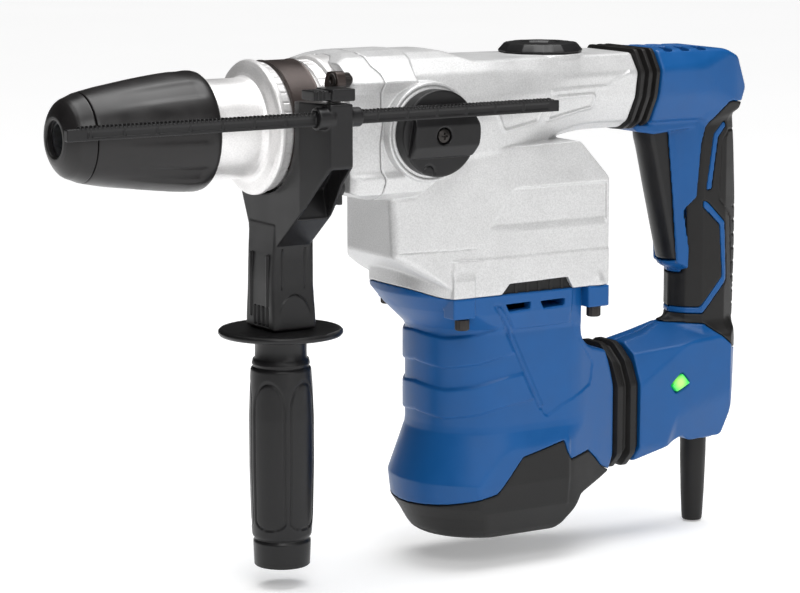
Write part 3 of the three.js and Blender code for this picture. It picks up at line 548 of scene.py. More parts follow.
# ---- chuck ----
def chuck():
    nose = rounded([(10.4, 0.6), (11.0, 0), (12.8, 0), (15, 0.7), (17.6, 2.1), (19.8, 3.6), (21.5, 5.2),
                    (22.6, 7.0), (23.5, 9.5), (25.4, 14.2), (25.4, 14.7), (25.0, 15.1), (14.8, 15.1),
                    (14.8, 3.7), (10.4, 3.7)], 0.6)
    turned("nose_cap_rubber", nose, "x", AXIS, SLEEVE, "spindle", ["nose_cap"], 128)

    def scallops(angle, radius, along):
        length = ramp(along, 24, 60) * (1 - ramp(along, 78, 84))
        lobes = ramp(np.cos(8 * angle + 0.6), -0.15, 0.75)
        return radius - 0.95 * length * lobes * (radius > 26)

    stations = np.arange(18, 87, 1.5)
    radii = np.interp(stations, [16, 28.4, 38.4, 48.4, 58.5, 68.7, 76, 82, 86],
                      [25.8, 28.3, 30.0, 31.6, 33.0, 34.2, 34.8, 34.8, 34.5])
    outside = [(25.0, 15.4), (25.5, 15.6), (25.8, 16.1), *zip(radii, stations), (34.1, 87.3),
               (33.3, 88.3), (32.2, 88.7), (30.6, 88.4), (30.3, 70.5), (20, 67), (20, 22.6),
               (14.8, 22.6), (14.8, 15.4)]
    turned("locking_sleeve_rubber", outside, "x", AXIS, SLEEVE, "locking_sleeve", ["locking_sleeve"], 256,
           wave=scallops)


# ---- barrel housing ----
PARTING_LINE = [(184.5, 306), (187.2, 301), (187.2, 296.5), (190, 292), (188.3, 284), (188.3, 270),
                (189.6, 264), (187.6, 252), (188, 238), (189.8, 230), (187.8, 223), (182.5, 216)]
BARREL_SECTION = mirrored([(0, 304.6), (14, 304.0), (24, 301.6), (30.5, 297.6), (44.6, 288),
                           (40.8, 281.4), (41.4, 235.8), (44.8, 232.6), (43.2, 223.2), (36, 219), (0, 219)])


def barrel():
    def notches(angle, radius, along):
        front = (along > 127.1) & (along < 131.6) & (radius > 36.5)
        rear = (along > 155.7) & (along < 162.0) & (radius > 36.5)
        line = np.mod(np.degrees(angle) + np.where(along < 140, 0, 4.5), 9.0) < 0.8
        return radius - 0.7 * ((front | rear) & line)

    profile = [(24, 84.4), (24.4, 84), (28.6, 84), (29, 84.4), (29, 116.5), (29.3, 118.6), (30.2, 120.2),
               (31.8, 121.1), (36.4, 122.3), (38.4, 123.3), (39.2, 124.4), (39.2, 126.2), (38.7, 126.8),
               (37.7, 127.0), (37.6, 129.2), (37.5, 131.7), (35.5, 131.7), (35.5, 155.6), (37.5, 155.6),
               (37.6, 158), (37.7, 162), (38.4, 162.4), (39.4, 163.2), (40.0, 164.2), (40.0, 174),
               (31, 174), (31, 124), (24, 118)]
    turned("barrel_neck", profile, "x", AXIS, NECK, "main_body", ["barrel_housing"], 450, size=0.25,
           wave=notches)

    s = Space((162, -47, 216), (192, 47, 306), 0.6)
    line = [(x - 0.25, z) for x, z in PARTING_LINE]
    flank = s.side([(160, 306), *line, (160, 216)])
    body = meet(s.front(BARREL_SECTION, 0.8), flank, 0.5)
    flare = s.plan(mirrored_y([(150, -34), (166, -40), (172, -44.8), (200, -44.8)]), 4)
    body = meet(meet(body, flare, 1.5), s.side([(160, 296), (172, 301), (180, 305), (200, 305),
                                               (200, 219), (180, 219), (160, 228)], 6), 1.5)
    body = meet(body, s.band("x", 167, 200))
    bore = join(s.disc(24.3, 150, 210, "x", AXIS), s.disc(40.1, 150, 174.2, "x", AXIS))
    skin("barrel_flange", s, cut(body, bore), CAST, "main_body", ["barrel_housing"], 40000)


# ---- gear case ----
MIDDLE_SECTION = mirrored([(0, 304), (18, 303), (28, 299), (36.5, 290.5, 2), (42.6, 277), (43.6, 262),
                           (42, 243), (36, 232), (0, 232)])
ARM_SECTION = mirrored([(0, 296.6), (23, 296.6), (31.5, 284.5), (29, 269), (20.5, 254), (12, 249),
                        (0, 248.5)])
BLOCK_SIDE = [(213, 219), (224, 228), (241, 243), (244, 262), (221, 283.5), (211.7, 288), (214.6, 296.5),
              (218, 307)]
CHAMBER_PLAN = [(197.6, -48, 9), (197.6, 13, 12), (214, 40, 10), (226, 47.3, 8), (348, 47.3, 4),
                (348, -48, 4)]
CHAMBER_SIDE = [(197.6, 221), (197.6, 184), (236, 161.5), (236, 157.9), (348, 157.9), (348, 223),
                (334, 241), (330, 246), (243, 245), (212, 221)]
FLANGE_RADIUS = 65.0
FLANGE_HALF = 47.3
WORD_PANEL = [(278.5, 221), (345.4, 221), (345.4, 194.8), (257.5, 193.2)]
RIBS = ([(266.5, 268), (273, 255), (300.5, 258.8), (306, 267.5)],
        [(316.5, 272.3), (347.5, 272.3), (348, 264.4), (309.5, 258.7)])


def round_front(s, radius):
    """A body with a round front about the motor axis and straight sides behind it."""
    return np.sqrt(np.minimum(s.x - MOTOR_X, 0) ** 2 + s.y ** 2) - radius


def chamber_solid(s):
    """The crank chamber: flat sides with a long facet in front and a bevel along the top."""
    wide = np.abs(s.y)
    chamber = meet(s.side(CHAMBER_SIDE, 1.5), s.plan(CHAMBER_PLAN), 2.0)
    chamber = meet(chamber, wide - FLANGE_HALF, 1.0)
    chamber = meet(chamber, wide * 0.968 + s.z * 0.250 - 101.4, 0.8)
    return meet(chamber, -0.145 * s.x - 0.982 * s.y + 0.118 * s.z - 32.4, 5.0)


def gear_case():
    s = Space((184, -50, 156), (382, 50, 306), 0.7)
    line = [(x + 0.25, z) for x, z in PARTING_LINE]
    wide = np.abs(s.y)

    front_block = meet(s.front(BARREL_SECTION, 0.8), s.side([*line, *BLOCK_SIDE], 0.6), 0.8)
    blend = ramp(s.x, 262, 356)
    middle = s.front(MIDDLE_SECTION, 1.2) * (1 - blend) + s.front(ARM_SECTION, 2) * blend
    middle = meet(middle, s.side([(200, 304), (243, 303.4), (259.5, 296.8), (380, 296.8), (380, 248),
                                  (352, 247.6), (342, 245), (334, 240), (334, 226), (212, 226)], 2), 1.6)
    upper = join(front_block, middle, 1.0)

    chamber = chamber_solid(s)
    lower_edge = 157.9 + 5.4 * ramp(-s.x, -234, -214)
    flange = meet(meet(round_front(s, FLANGE_RADIUS), wide - FLANGE_HALF, 1.0),
                  meet(s.z - 180, lower_edge - s.z), 0.4)
    flange = meet(flange, s.band("x", 200, 348), 2)
    boss = meet(np.abs(s.x - 242) - 7.6, wide - 48.4 + np.maximum(s.z - 168, 0) * 0.32, 1.0)
    boss = meet(meet(boss, s.band("z", 157.9, 186)), 30 - wide, 0.5)
    cone = np.sqrt((s.x - SCREW_XS[1]) ** 2 + (wide - SCREW_Y) ** 2) - 7.2
    cone = meet(cone + np.maximum(s.z - 160, 0) * 0.28, s.band("z", 157.9, 187), 0.8)
    lower = join(join(chamber, flange, 1.2), join(boss, cone), 0.8)
    body = join(upper, lower, 1.6)

    knob_seat = s.disc(29.3, -47.6, -38, "y", KNOB_AT, 1.0)
    groove = meet(np.abs(s.disc(26.6, -80, 0, "y", KNOB_AT)) - 0.5, s.band("y", -60, -46.6))
    seat_profile = [(0, 285), (31.5, 285), (29.5, 290.5), (27.4, 293.6), (27.2, 297.0), (0, 297.0)]
    cap_seat = s.turned(seat_profile, "z", CAP_AT, 0.8)
    body = join(join(body, cut(knob_seat, groove), 0.8), cap_seat, 1.0)

    panel = meet(s.side(WORD_PANEL, 1.0), 45.5 - wide + np.maximum(199.5 - s.z, 0) * 0.5, 0.8)
    body = cut(body, meet(panel, s.band("y", -60, 60)), 0.6)
    for rib in RIBS:
        ring = np.abs(s.side(rib, 2)) - 0.95
        body = join(body, meet(ring, join(upper, chamber) - 1.15, 0.7), 0.7)
    ridge = s.side([(312, 277.2), (356, 277.8), (374, 286), (374, 283.6), (356, 275.2), (312, 275)], 0.5)
    body = join(body, meet(ridge, upper - 0.8, 0.8), 0.8)
    seam = meet(np.abs(s.z - 186.6) - 0.3, meet(s.band("x", 202, 252), s.y))
    body = cut(body, meet(seam, -(body + 0.9)), 0.3)

    cavity = join(meet(upper, s.band("x", 190, 376)) + 4.0, chamber + 4.0, 3.0)
    cavity = join(cavity, meet(s.block(224, 344, -36, 36, 150, 170), round_front(s, FLANGE_RADIUS) + 5))
    body = cut(body, cavity)
    vent = meet(s.side([(267.5, 156), (274.5, 163.9), (317, 164.8), (322, 156)]), 32 - wide)
    body = cut(body, vent, 0.4)
    for hole in (21.9, 280, 310, "z", CAP_AT), (10.2, -60, -30, "y", KNOB_AT), (24.4, 180, 200, "x", AXIS):
        body = cut(body, s.disc(*hole))
    skin("gear_case_casting", s, body, CAST, "main_body", ["gear_case"], 120000)

    ribs = Space((266, -46, 156.5), (324, 46, 166), 0.6)
    slats = meet(bars(ribs.x - 268, 8.4, 1.2), ribs.block(267, 322, -45.4, 45.4, 157, 165.6))
    slats = join(slats, ribs.block(267, 322, -44.4, 44.4, 157, 165.6))
    slats = cut(slats, ribs.band("y", -43.3, 43.3))
    skin("vent_grille", ribs, slats, BASE, "main_body", faces=8000)


def grease_cap():
    profile = [(0, 290), (21.4, 290), (21.4, 297.2), (25.0, 297.4), (25.6, 298.2), (25.5, 299.0),
               (22.4, 302.6), (21.6, 303.2), (12.6, 303.4), (12.0, 303.0), (11.4, 302.2), (10.6, 302),
               (0, 302)]

    def facets(angle, radius, along):
        step = math.radians(30)
        flat = np.cos(step / 2) / np.cos(np.mod(angle, step) - step / 2)
        slots = ramp(np.cos(3 * angle), 0.72, 0.9) * (along > 300.6) * (radius > 16)
        return radius * np.where(along > 297.3, flat * 1.012, 1.0) - 1.1 * slots

    turned("grease_cap_cover", profile, "z", CAP_AT, BLACK, "main_body", ["grease_cap"], 216, wave=facets)


def cap_screw(name, at, axis, head, body, nodes, shank=30):
    """A socket cap screw; `head` is the (radius, length) of its head."""
    radius, length = head
    hexagon = radius * 0.5

    def socket(angle, r, along):
        step = math.radians(60)
        flat = math.cos(step / 2) / np.cos(np.mod(angle, step) - step / 2)
        ridges = 0.22 * (np.cos(angle * 30) > 0) * (r > radius * 0.97)
        return np.where(np.abs(r - hexagon) < 0.2, r * flat * 1.1, r) - ridges

    profile = [(0, 3.0), (hexagon - 0.6, 2.8), (hexagon, 2.4), (hexagon, 0.4), (hexagon + 0.3, 0),
               (radius - 0.7, 0), (radius, 0.7), (radius, length * 0.5), (radius, length - 0.3),
               (radius - 0.3, length), (2.5, length), (2.5, length + shank), (0, length + shank)]
    turned(name, profile, axis, at, DARK_STEEL, body, nodes, 120, wave=socket)


def motor_screws():
    places = [(x, y) for x in SCREW_XS for y in (-SCREW_Y, SCREW_Y)]
    for i, (x, y) in enumerate(places, 1):
        head_level = 142.6 if x < MOTOR_X and y > 0 else 138
        cap_screw(f"housing_screw_{i}", (x, y, head_level), "z", (4.4, 6.5), "main_body",
                  [f"motor_screw_{i}"])


# ---- mode knob ----
def knob():
    s = Space((192, -65, 231), (246, -30, 285), 0.5)
    disc = s.disc(25.4, -57, -47.6, "y", KNOB_AT, 1.0)
    section = [(-61.4, -7.3), (-61.4, 5.1), (-58.8, 9.8), (-54, 9.8), (-54, -13.6), (-58.4, -13.6)]
    length = [(-22.4, -14), (-18.4, 10), (30, 10), (30, -14)]
    bar = meet(s.front([(y, KNOB_Z + z) for y, z in section], 0.3),
               s.side([(KNOB_X + x, KNOB_Z + z) for x, z in length], 1.5), 0.4)
    bar = meet(bar, -(s.x - KNOB_X) * 0.80 - s.y * 0.6 - 52.4, 0.3)
    body = join(disc, meet(bar, s.disc(25.4, -70, -40, "y", KNOB_AT), 0.8), 0.4)
    mark = np.abs(s.disc(4, -80, 0, "y", (KNOB_X - 8, 0, KNOB_Z - 22))) - 0.5
    body = cut(body, meet(mark, s.band("y", -58, -56.4)), 0.2)
    screw_at = (KNOB_X, 0, KNOB_Z - 1)
    body = cut(body, s.disc(5.0, -70, -58.0, "y", screw_at, 0.4), 0.4)
    body = join(body, s.disc(9.5, -50, -33, "y", KNOB_AT))
    skin("mode_knob_grip", s, body, BLACK, "mode_selector", ["mode_knob"], 40000)

    d = Space((KNOB_X - 5, -62.5, KNOB_Z - 6), (KNOB_X + 5, -57.5, KNOB_Z + 4), 0.16)
    head = meet(d.disc(4.0, -61.6, -58.2, "y", screw_at, 0.5),
                np.sqrt((d.x - KNOB_X) ** 2 + (d.z - KNOB_Z + 1) ** 2 + (d.y + 52) ** 2) - 9.6, 0.2)
    along, up = np.abs(d.x - KNOB_X), np.abs(d.z - KNOB_Z + 1)
    cross = join(meet(along - 2.1, up - 0.45), meet(up - 2.1, along - 0.45))
    head = cut(head, meet(cross, d.y + 60.2), 0.1)
    skin("knob_screw_head", d, head, DARK_STEEL, "mode_selector", ["knob_screw"], 12000)


# ---- motor housing ----
REAR_SECTION = mirrored([(0, 112.5), (-9, 112.5), (-22, 102.5), (-28.6, 89), (-28.6, 46), (-20, 37),
                         (0, 37)])
CAP_EDGE = [(190, 26.5), (229, 27.8), (241, 30), (256, 33.4), (267.5, 35.4), (274.7, 43), (286, 56.4),
            (316.2, 63.4), (319, 55.8), (323, 51), (339.8, 53.4), (347.8, 47), (353, 41.5), (376, 30)]
FRONT_LEVELS = [6, 8, 12, 20, 27.5, 42, 72, 76, 133, 136, 148.5, 158, 164]
FRONT_RADII = [36, 39.5, 42.5, 47, 52, 53.6, 43.4, 43, 43, 44.5, 57, 64.6, 65.0]
SIDE_LEVELS = [0, 10, 24, 40, 64, 76, 134, 146, 170]
SIDE_HALVES = [30, 38, 45, 46.6, 46.4, 44, 44, 46.8, 47.3]
PLAN_SIDES = mirrored_y([(200, -60), (322, -60), (322, -45.4, 12), (352, -34, 10), (366, -28.6, 1)])
BORDER = [(258, 160), (274.7, 135.6), (301.6, 80), (306, 60), (400, 60), (400, 160)]
INNER_PANEL = [(277.5, 135.3), (323, 136.2), (331, 122.5), (343.5, 108), (341, 95), (317, 85), (306, 79),
               (303, 80.6)]
BANDS = ((111.5, 130.5), (80.7, 98.9))


def motor_solid(s):
    """The outside of the motor housing and its base cap together."""
    wide = np.abs(s.y)
    front = round_front(s, interp(s.z, FRONT_LEVELS, FRONT_RADII))
    body = meet(front, wide - interp(s.z, SIDE_LEVELS, SIDE_HALVES), 0.8)
    rise = interp(s.x, [243, 258, 268, 277, 287, 296], [0, 3, 6, 8, 9, 10])
    rise = rise + 3 * np.clip(1 - wide / 24, 0, 1)
    level = s.z - rise
    left = s.side(BORDER)
    for low, high in BANDS:
        swell = meet(body - 1.5, np.abs(level - (low + high) / 2) - (high - low) / 2, 1.6)
        body = join(body, cut(swell, left - 1.0, 1.0), 0.5)
    body = meet(body, s.plan(PLAN_SIDES), 3.0)
    profile = [(200, 6), (317, 6), (321, 9), (333.5, 27), (351, 32.5), (367, 38), (367, 111),
               (354, 114.5), (340, 118.5, 6), (332, 125, 6), (331.6, 134), (331.6, 164), (200, 164)]
    body = meet(body, s.side(profile, 2), 1.6)
    body = meet(body, s.front(REAR_SECTION, 3) - np.maximum(366 - s.x, 0) * 1.6, 2.0)
    strip = meet(meet(-left - 4.6, left), s.band("z", 84, 152))
    panel = join(s.side(INNER_PANEL, 1.0), strip)
    sunk = meet(panel, -(body + 0.8), 0.2)
    raised = meet(meet(strip + 1.2, body - 0.15, 0.4), s.band("z", 86, 150))
    return join(cut(body, sunk, 0.2), raised, 0.3)


def motor_housing():
    s = Space((212, -54, 24), (368, 54, 168), 0.7)
    wide = np.abs(s.y)
    top = 157.6 + 5.4 * ramp(-s.x, -234, -214)
    body = meet(motor_solid(s), s.z - top, 0.5)
    block = None
    hull = np.maximum(body - 2.5, -s.y - 20)
    for x, low in ((242, 145.4), (339.6, 144.6)):
        post = meet(np.abs(s.x - x) - 7.7, np.abs(wide - 42.4) - 6.0, 1.0)
        post = meet(post, s.band("z", low, 157.6), 0.8)
        if x < MOTOR_X:
            post = meet(post, np.minimum(hull, s.y), 0.8)
        block = post if block is None else join(block, post)
    block = join(block, s.block(300, 346.6, -40, 40, 147, 157.6, 2))
    body = join(body, block, 0.8)
    body = cut(body, s.side([(190, 0), *CAP_EDGE, (400, 0)]) - 0.25, 0.4)

    bore = s.disc(40.2, 30, 180, "z", MOTOR_AT)
    hollow = join(bore, s.block(300, 358, -24, 24, 30, 104, 3))
    hollow = join(hollow, s.disc(39, 20, 60, "z", MOTOR_AT))
    body = cut(body, hollow)
    for x in (272.5, 297.5):
        slot = [(x, 151.4), (x + 18, 151.8), (x + 17.4, 147.6), (x + 2.4, 147)]
        body = cut(body, meet(s.side(slot, 0.3), 28 - wide), 0.3)
    skin("motor_housing_shell", s, body, BLUE, "main_body", ["motor_housing"], 110000)


def base_cap():
    s = Space((224, -56, 4), (370, 56, 66), 0.7)
    outside = motor_solid(s)
    body = meet(outside, s.side([(190, 0), *CAP_EDGE, (400, 0)]) + 0.25, 0.4)
    notch = s.block(236, 244, -60, 60, 4, 9.5, 1)
    body = cut(cut(body, meet(outside + 4.2, 11 - s.z)), notch, 0.5)
    for y in (-24, -12, 0, 12, 24):
        body = cut(body, s.block(272, 312, y - 1.2, y + 1.2, 2, 8, 0.5), 0.3)
    skin("base_cap_cover", s, body, BASE, "main_body", ["base_cap"], 70000)


# ---- bellows ----
# One fold of a sleeve: share of its pitch, and share of its depth below the crest.
FOLD = ((0.0, 1), (0.05, 1), (0.09, 0.9), (0.22, 0.08), (0.26, 0), (0.60, 0), (0.64, 0.08), (0.78, 0.9),
        (0.82, 1), (0.95, 1))
BELLOWS_WALL = 2.2


def bellows(name, section, low, high, folds, depth, node):
    """A folded rubber sleeve between the body and the sprung handle."""
    ring = np.array(rounded(section, 2.0, 2))
    centre = ring.mean(0)
    stations = []
    for k in range(folds):
        start, pitch = low + (high - low) * k / folds, (high - low) / folds
        stations += [(start + share * pitch, drop * depth) for share, drop in FOLD]
    stations.append((high, depth))
    loops = []
    inside = [(x, drop + BELLOWS_WALL) for x, drop in reversed(stations)]
    for x, drop in stations + inside:
        shrink = 1 - drop / np.abs(ring - centre).max(0)
        loops.append([(x, *p) for p in (ring - centre) * shrink + centre])
    mesh = mesh_from(name, np.array(loops).reshape(-1, 3), grid_faces(len(loops), len(ring)))
    work = bmesh.new()
    work.from_mesh(mesh)
    finish_mesh(work, mesh)
    obj = piece(name, mesh, RUBBER, None, [node])
    start, end = place([[low, *centre]])[0], place([[high, *centre]])[0]
    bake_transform(obj)


def both_bellows():
    upper = mirrored([(0, 298.2), (-24, 298.2), (-32.4, 285), (-29.5, 268.5), (-21, 252.5), (-12, 247.5),
                      (0, 247)])
    lower = mirrored([(0, 113.6), (-9.4, 113.6), (-22.8, 103.4), (-29.6, 89.4), (-29.6, 45.4),
                      (-20, 35.4), (0, 35.4)])
    bellows("upper_bellows_rubber", upper, 380.2, 398.2, 3, 3.2, "upper_bellows")
    bellows("lower_bellows_rubber", lower, 366.2, 386.2, 2, 3.4, "lower_bellows")


# ---- rear handle ----
TOP_SIDE = [(398.4, 297.5), (452, 296), (465, 290.5), (475, 270), (468, 257), (450, 249.5),
            (398.4, 249.5)]
TOP_SECTION = mirrored([(0, 298), (23.5, 298), (31.6, 285), (29, 269), (20, 252), (8, 248), (0, 248)])
GRIP_SIDE = [(424, 252), (468, 264), (472.5, 235), (475.5, 200), (476, 165), (474.5, 122), (467, 96),
             (420, 96), (421, 117), (428.4, 123.5), (428.6, 150), (428, 158), (426, 166)]
TRIGGER_EDGE = [(418.2, 243.5), (422.6, 202), (426.2, 159.6)]
ARM_SIDE = [(386.4, 112.5), (404, 116), (423, 123), (466, 123), (474, 106), (470, 78), (460, 46),
            (431, 46), (425, 50.5), (386.4, 36.5)]
OVERMOLD = [(459.5, 262.5), (456.4, 261.5), (443, 246), (440.7, 235.3), (437.8, 201.7), (430.5, 194.4),
            (430.3, 190.5), (433.5, 168.1), (432.8, 152.8), (402, 152.8), (402, 126.4), (409.3, 126.2),
            (415, 121.9), (444.4, 119.9), (466.5, 103.2), (490, 98), (490, 259)]
STRIPES = (
    [(458, 249.5), (450.2, 241.2), (445.2, 206), (449, 206), (453.6, 239), (459.4, 246)],
    [(443.2, 199), (443.2, 195), (456, 183), (458.6, 149.5), (441.8, 130.6), (400, 130.6), (400, 127.4),
     (443.6, 126.4), (462.6, 147.6), (459.8, 184.8), (447, 197.4)],
)
RUBBER_LINE = [(462, 243), (457.2, 237), (455.4, 199.4), (466.4, 187.2), (469.2, 147), (475, 141)]
RUBBER_SKIN = 2.2
LENS_OUTLINE = [(412.4, 84.4), (420.6, 91.4), (426.4, 85.0), (416.0, 80.2)]


def handle_solid(s):
    wide = np.abs(s.y)
    top = meet(s.side(TOP_SIDE, 2.5), s.front(TOP_SECTION, 2.5), 2.0)
    top = meet(top, s.plan(mirrored_y([(380, -33), (430, -31), (462, -24), (480, -16)]), 4), 2.0)
    grip_plan = mirrored_y([(420, -3, 1), (428.4, -3.4, 2), (434, -11.5, 6), (443, -17.6, 10),
                            (460, -18, 18), (476.5, -9, 9)])
    grip = meet(s.side(GRIP_SIDE, 5), s.plan(grip_plan), 4.0)
    arm_plan = mirrored_y([(386.4, -28.6, 1), (424, -27, 20), (462, -24, 16), (477, -9, 8)])
    arm_section = mirrored([(0, 126), (-40, 104), (-40, 60), (-29, 48), (-19, 36), (0, 36)])
    arm = meet(s.side(ARM_SIDE, 3), s.plan(arm_plan), 2.0)
    arm = meet(arm, s.front(arm_section, 3), 1.5)
    arm = meet(arm, (s.z + 0.55 * wide - 0.2 * s.x - 40.0) / 1.16, 0.8)
    arm = meet(arm, 0.388 * s.z + 0.900 * wide - 0.202 * s.x + 18.6, 0.8)
    lower_facet = 0.127 * s.x + 0.965 * wide - 0.231 * s.z - 64.5 - 5 * ramp(-s.x, -419, -402)
    arm = meet(arm, lower_facet, 0.8)
    neck = meet(s.disc(13.5, 44, 60, "z", BOOT_AT, 1.5), s.band("x", 430, 470), 1)
    lip = meet(s.side([(388, 250), (398, 250), (436, 256), (436, 246), (404, 243.5), (392, 245.5)], 1.5),
               wide - 17 + np.maximum(398 - s.x, 0) * 0.35, 1.5)
    return join(join(join(grip, top, 6.0), arm, 6.0), join(neck, lip, 0.1), 2.0)


def handle():
    s = Space((384, -36, 40), (480, 36, 302), 0.8)
    wide = np.abs(s.y)
    body = handle_solid(s)
    for x in (408, 421, 434):
        arrow = np.abs(s.x - x - 12 + wide * 0.5) - 3.2
        body = cut(body, meet(arrow, meet(s.band("z", 293.6, 303), wide - 24), 0.4), 0.4)
    zone = s.side(OVERMOLD, 1.0)
    for stripe in STRIPES:
        zone = cut(zone, s.side(stripe, 0.8))
    rubber = meet(cut(body, body + RUBBER_SKIN), zone + 0.2, 0.5)
    line = np.abs(s.side([*RUBBER_LINE, (500, 141), (500, 243)])) - 0.45
    rubber = cut(rubber, meet(line, -(body + 0.9)), 0.3)
    ribs = meet(bars(s.z, 9.0, 0.6), s.side([(469, 196), (490, 200), (490, 118), (470, 122)]))
    rubber = cut(rubber, meet(ribs, -(body + 0.7)), 0.3)
    slot = meet(s.side([(396, 246), (425, 246), (441, 161.4), (396, 161.4)], 1.0), wide - 10.9)
    rubber = cut(rubber, slot, 0.3)
    skin("grip_rubber", s, rubber, RUBBER, "rear_handle", ["handle_overmold"], 80000)

    shell = cut(body, meet(zone - 0.2, -(body + RUBBER_SKIN + 0.2)), 0.4)
    guard_side = [(413, 250), *TRIGGER_EDGE, (430, 158), (436, 153.2), (446, 153.2), (446, 250)]
    guard = meet(s.side(guard_side, 1), wide - 12.2 - 5.4 * ramp(s.x, 422, 440), 1.0)
    guard = cut(guard, zone - 0.2)
    lip = meet(outline([(422.4, 160.8), (440, 159.6), (440, 153.4), (426, 156.2), (423, 158.2)],
                       rounded_front(s), s.z), wide - 12.2, 0.8)
    shell = join(join(shell, guard, 1.2), lip, 0.8)
    shell = cut(shell, slot, 0.4)
    for room in (meet(body + 5.2, s.band("x", 384, 470)), s.disc(12, 384, 410, "x", (0, 0, 273)),
                 s.block(380, 400, -16, 16, 54, 96), s.disc(8.9, 30, 60, "z", BOOT_AT),
                 s.disc(11.5, 54.8, 70, "z", BOOT_AT)):
        shell = cut(shell, room)
    dish = meet(s.side(LENS_OUTLINE, 1.0) - 0.9, 25.4 - wide)
    shell = cut(shell, meet(dish, s.y), 0.6)
    for name, side in (("right", 1), ("left", -1)):
        half = meet(shell, side * s.y + 0.12, 0.35)
        skin(f"handle_half_{name}", s, half, BLUE, "rear_handle", [f"handle_shell_{name}"], 70000)

    d = Space((408, -30, 78), (428, -22, 94), 0.25)
    lens = meet(d.side(LENS_OUTLINE, 0.8), d.band("y", -28.2, -23), 0.7)
    skin("lens_green", d, lens, LENS, "rear_handle", ["status_lens"], 8000)


def rounded_front(s):
    """x measured back from a front that is rounded across the width of the trigger."""
    return s.x - 5.0 * (s.y / 11) ** 2


def trigger():
    s = Space((398, -14, 157), (442, 14, 248), 0.4)
    face = [(402.2, 245.2), (402.6, 240), (405, 232), (411, 206.5), (420, 170), (422, 162), (424, 161.8),
            (436, 163), (424, 240), (421, 245.2)]
    body = meet(outline(rounded(face, 2), rounded_front(s), s.z), np.abs(s.y) - 10.6, 1.6)
    swing_room = s.side([(390, 248), (424, 248), (424, 240), (431.2, 163), (431.2, 150), (390, 150)])
    body = meet(body, swing_room, 0.6)
    skin("trigger_lever", s, body, BLACK, "trigger", ["trigger"], 30000)


def cable_boot():
    profile = [(4, 60), (11, 60), (11, 55.6), (8.45, 55.2), (8.45, 44), (8.3, 30), (7.6, 8), (6.9, -6),
               (6.5, -11), (6.0, -12), (4.4, -12), (4, -11.4)]
    turned("cable_boot_rubber", profile, "z", BOOT_AT, RUBBER, "rear_handle", ["cable_boot"], 72, size=0.5)


# ---- side handle ----
def strap():
    profile = [(35.9, STRAP_FRONT), (38.6, STRAP_FRONT), (38.2, STRAP_FRONT + 1.0),
               (38.2, STRAP_REAR - 1.0), (38.6, STRAP_REAR), (35.9, STRAP_REAR)]
    turned("strap_band_steel", profile, "x", AXIS, STRAP, "side_handle", ["strap_band"], 160, size=0.2,
           span=(-38, 218))


def clamp_bracket():
    s = Space((129, -76, 142), (164, 54, 284), 0.55)
    away = np.sqrt(s.y ** 2 + (s.z - AXIS_Z) ** 2)
    fork = s.front([(0, 143), (15, 143), (15, 200), (27, 227), (37, 243), (46, 262), (38, 270), (30, 262),
                    (-30, 262), (-38, 280), (-50, 280), (-71.6, 280), (-71.6, 244), (-60, 232.5, 6),
                    (-46.5, 217.6, 8), (-16.5, 193.4), (-15.4, 186), (-15, 143)], 1)
    slant = interp(s.y, [-72, -44], [4.6, 0])
    fork = meet(fork, CLAMP_FRONT + slant - s.x, 1.0)
    fork = meet(fork, s.x - np.interp(s.y, [-60, -40], [151.2, CLAMP_REAR]), 1.0)
    front, back = GRIP_X - 14.3, GRIP_X + 14.3
    column = s.plan([(front, -15.6), (back, -15.6), (back, 15.6), (front, 15.6)], 3)
    column = meet(column - 1.3 * ramp(-s.z, -172, -146), s.band("z", 143.6, 206), 0.8)
    column = meet(column, front + 0.065 * np.maximum(s.z - 172, 0) - s.x, 0.8)
    pocket = meet(s.front([(-90, 243), (-50, 243), (-34, 228), (-38, 212), (-52, 200), (-90, 200)], 1),
                  meet(CLAMP_FRONT + 1.6 + slant - s.x, s.x - np.interp(s.y, [-60, -40], [149.4, 153.6])))
    fork = cut(fork, pocket, 0.4)
    body = join(fork, meet(column, s.x + (s.z - 196) * 0.75 - 158.4, 0.6), 0.8)
    collars = join(s.disc(6.4, 129.6, 140, "x", ROD_AT, 0.8), s.disc(5.6, 150, 158.5, "x", ROD_AT, 0.8))
    body = join(body, collars, 0.6)
    lug = s.disc(5.6, 153.8, 158.5, "x", (0, -45, 230), 0.6)
    lug = join(lug, s.block(153.6, 157, -50, -36, 220, 244, 0.6), 0.6)
    body = join(body, lug, 0.5)
    for y in (-9.5, 9.5):
        body = join(body, s.block(GRIP_X - 15.2, GRIP_X - 12, y - 0.6, y + 0.6, 150, 188, 0.4), 0.4)
    for x in (136.4, 151.6):
        body = cut(body, s.block(x - 0.45, x + 0.45, -18, -15.1, 168, 192, 0.2), 0.4)
    arch = s.side([(133, 143), (133, 152), (136.5, 161), (144, 165.5), (151.5, 161), (155, 152),
                   (155, 143)], 4)
    body = join(body, meet(arch, meet(s.band("y", -17.0, -14), s.band("z", 144.4, 170)), 0.7), 0.5)
    body = cut(body, s.block(126, 130.7, -11, 6, 146, 157, 0.3), 0.3)
    for y in (-7.5, -2.5, 2.5):
        body = join(body, s.block(129.6, 133, y - 0.9, y + 0.9, 146, 157, 0.3))
    body = cut(body, meet(away - 38.9, s.band("x", 120, 170)), 0.4)
    body = cut(body, meet(s.block(120, 170, -38.4, 60, 268, 300), away - 60))
    body = cut(body, s.block(120, 175, ROD_Y - 2.3, ROD_Y + 2.3, ROD_Z - 4.3, ROD_Z + 4.4))
    body = cut(body, s.disc(4.3, 130, 230, "z", GRIP_AT))
    skin("clamp_bracket_body", s, body, BLACK, "side_handle", ["clamp_bracket"], 90000)


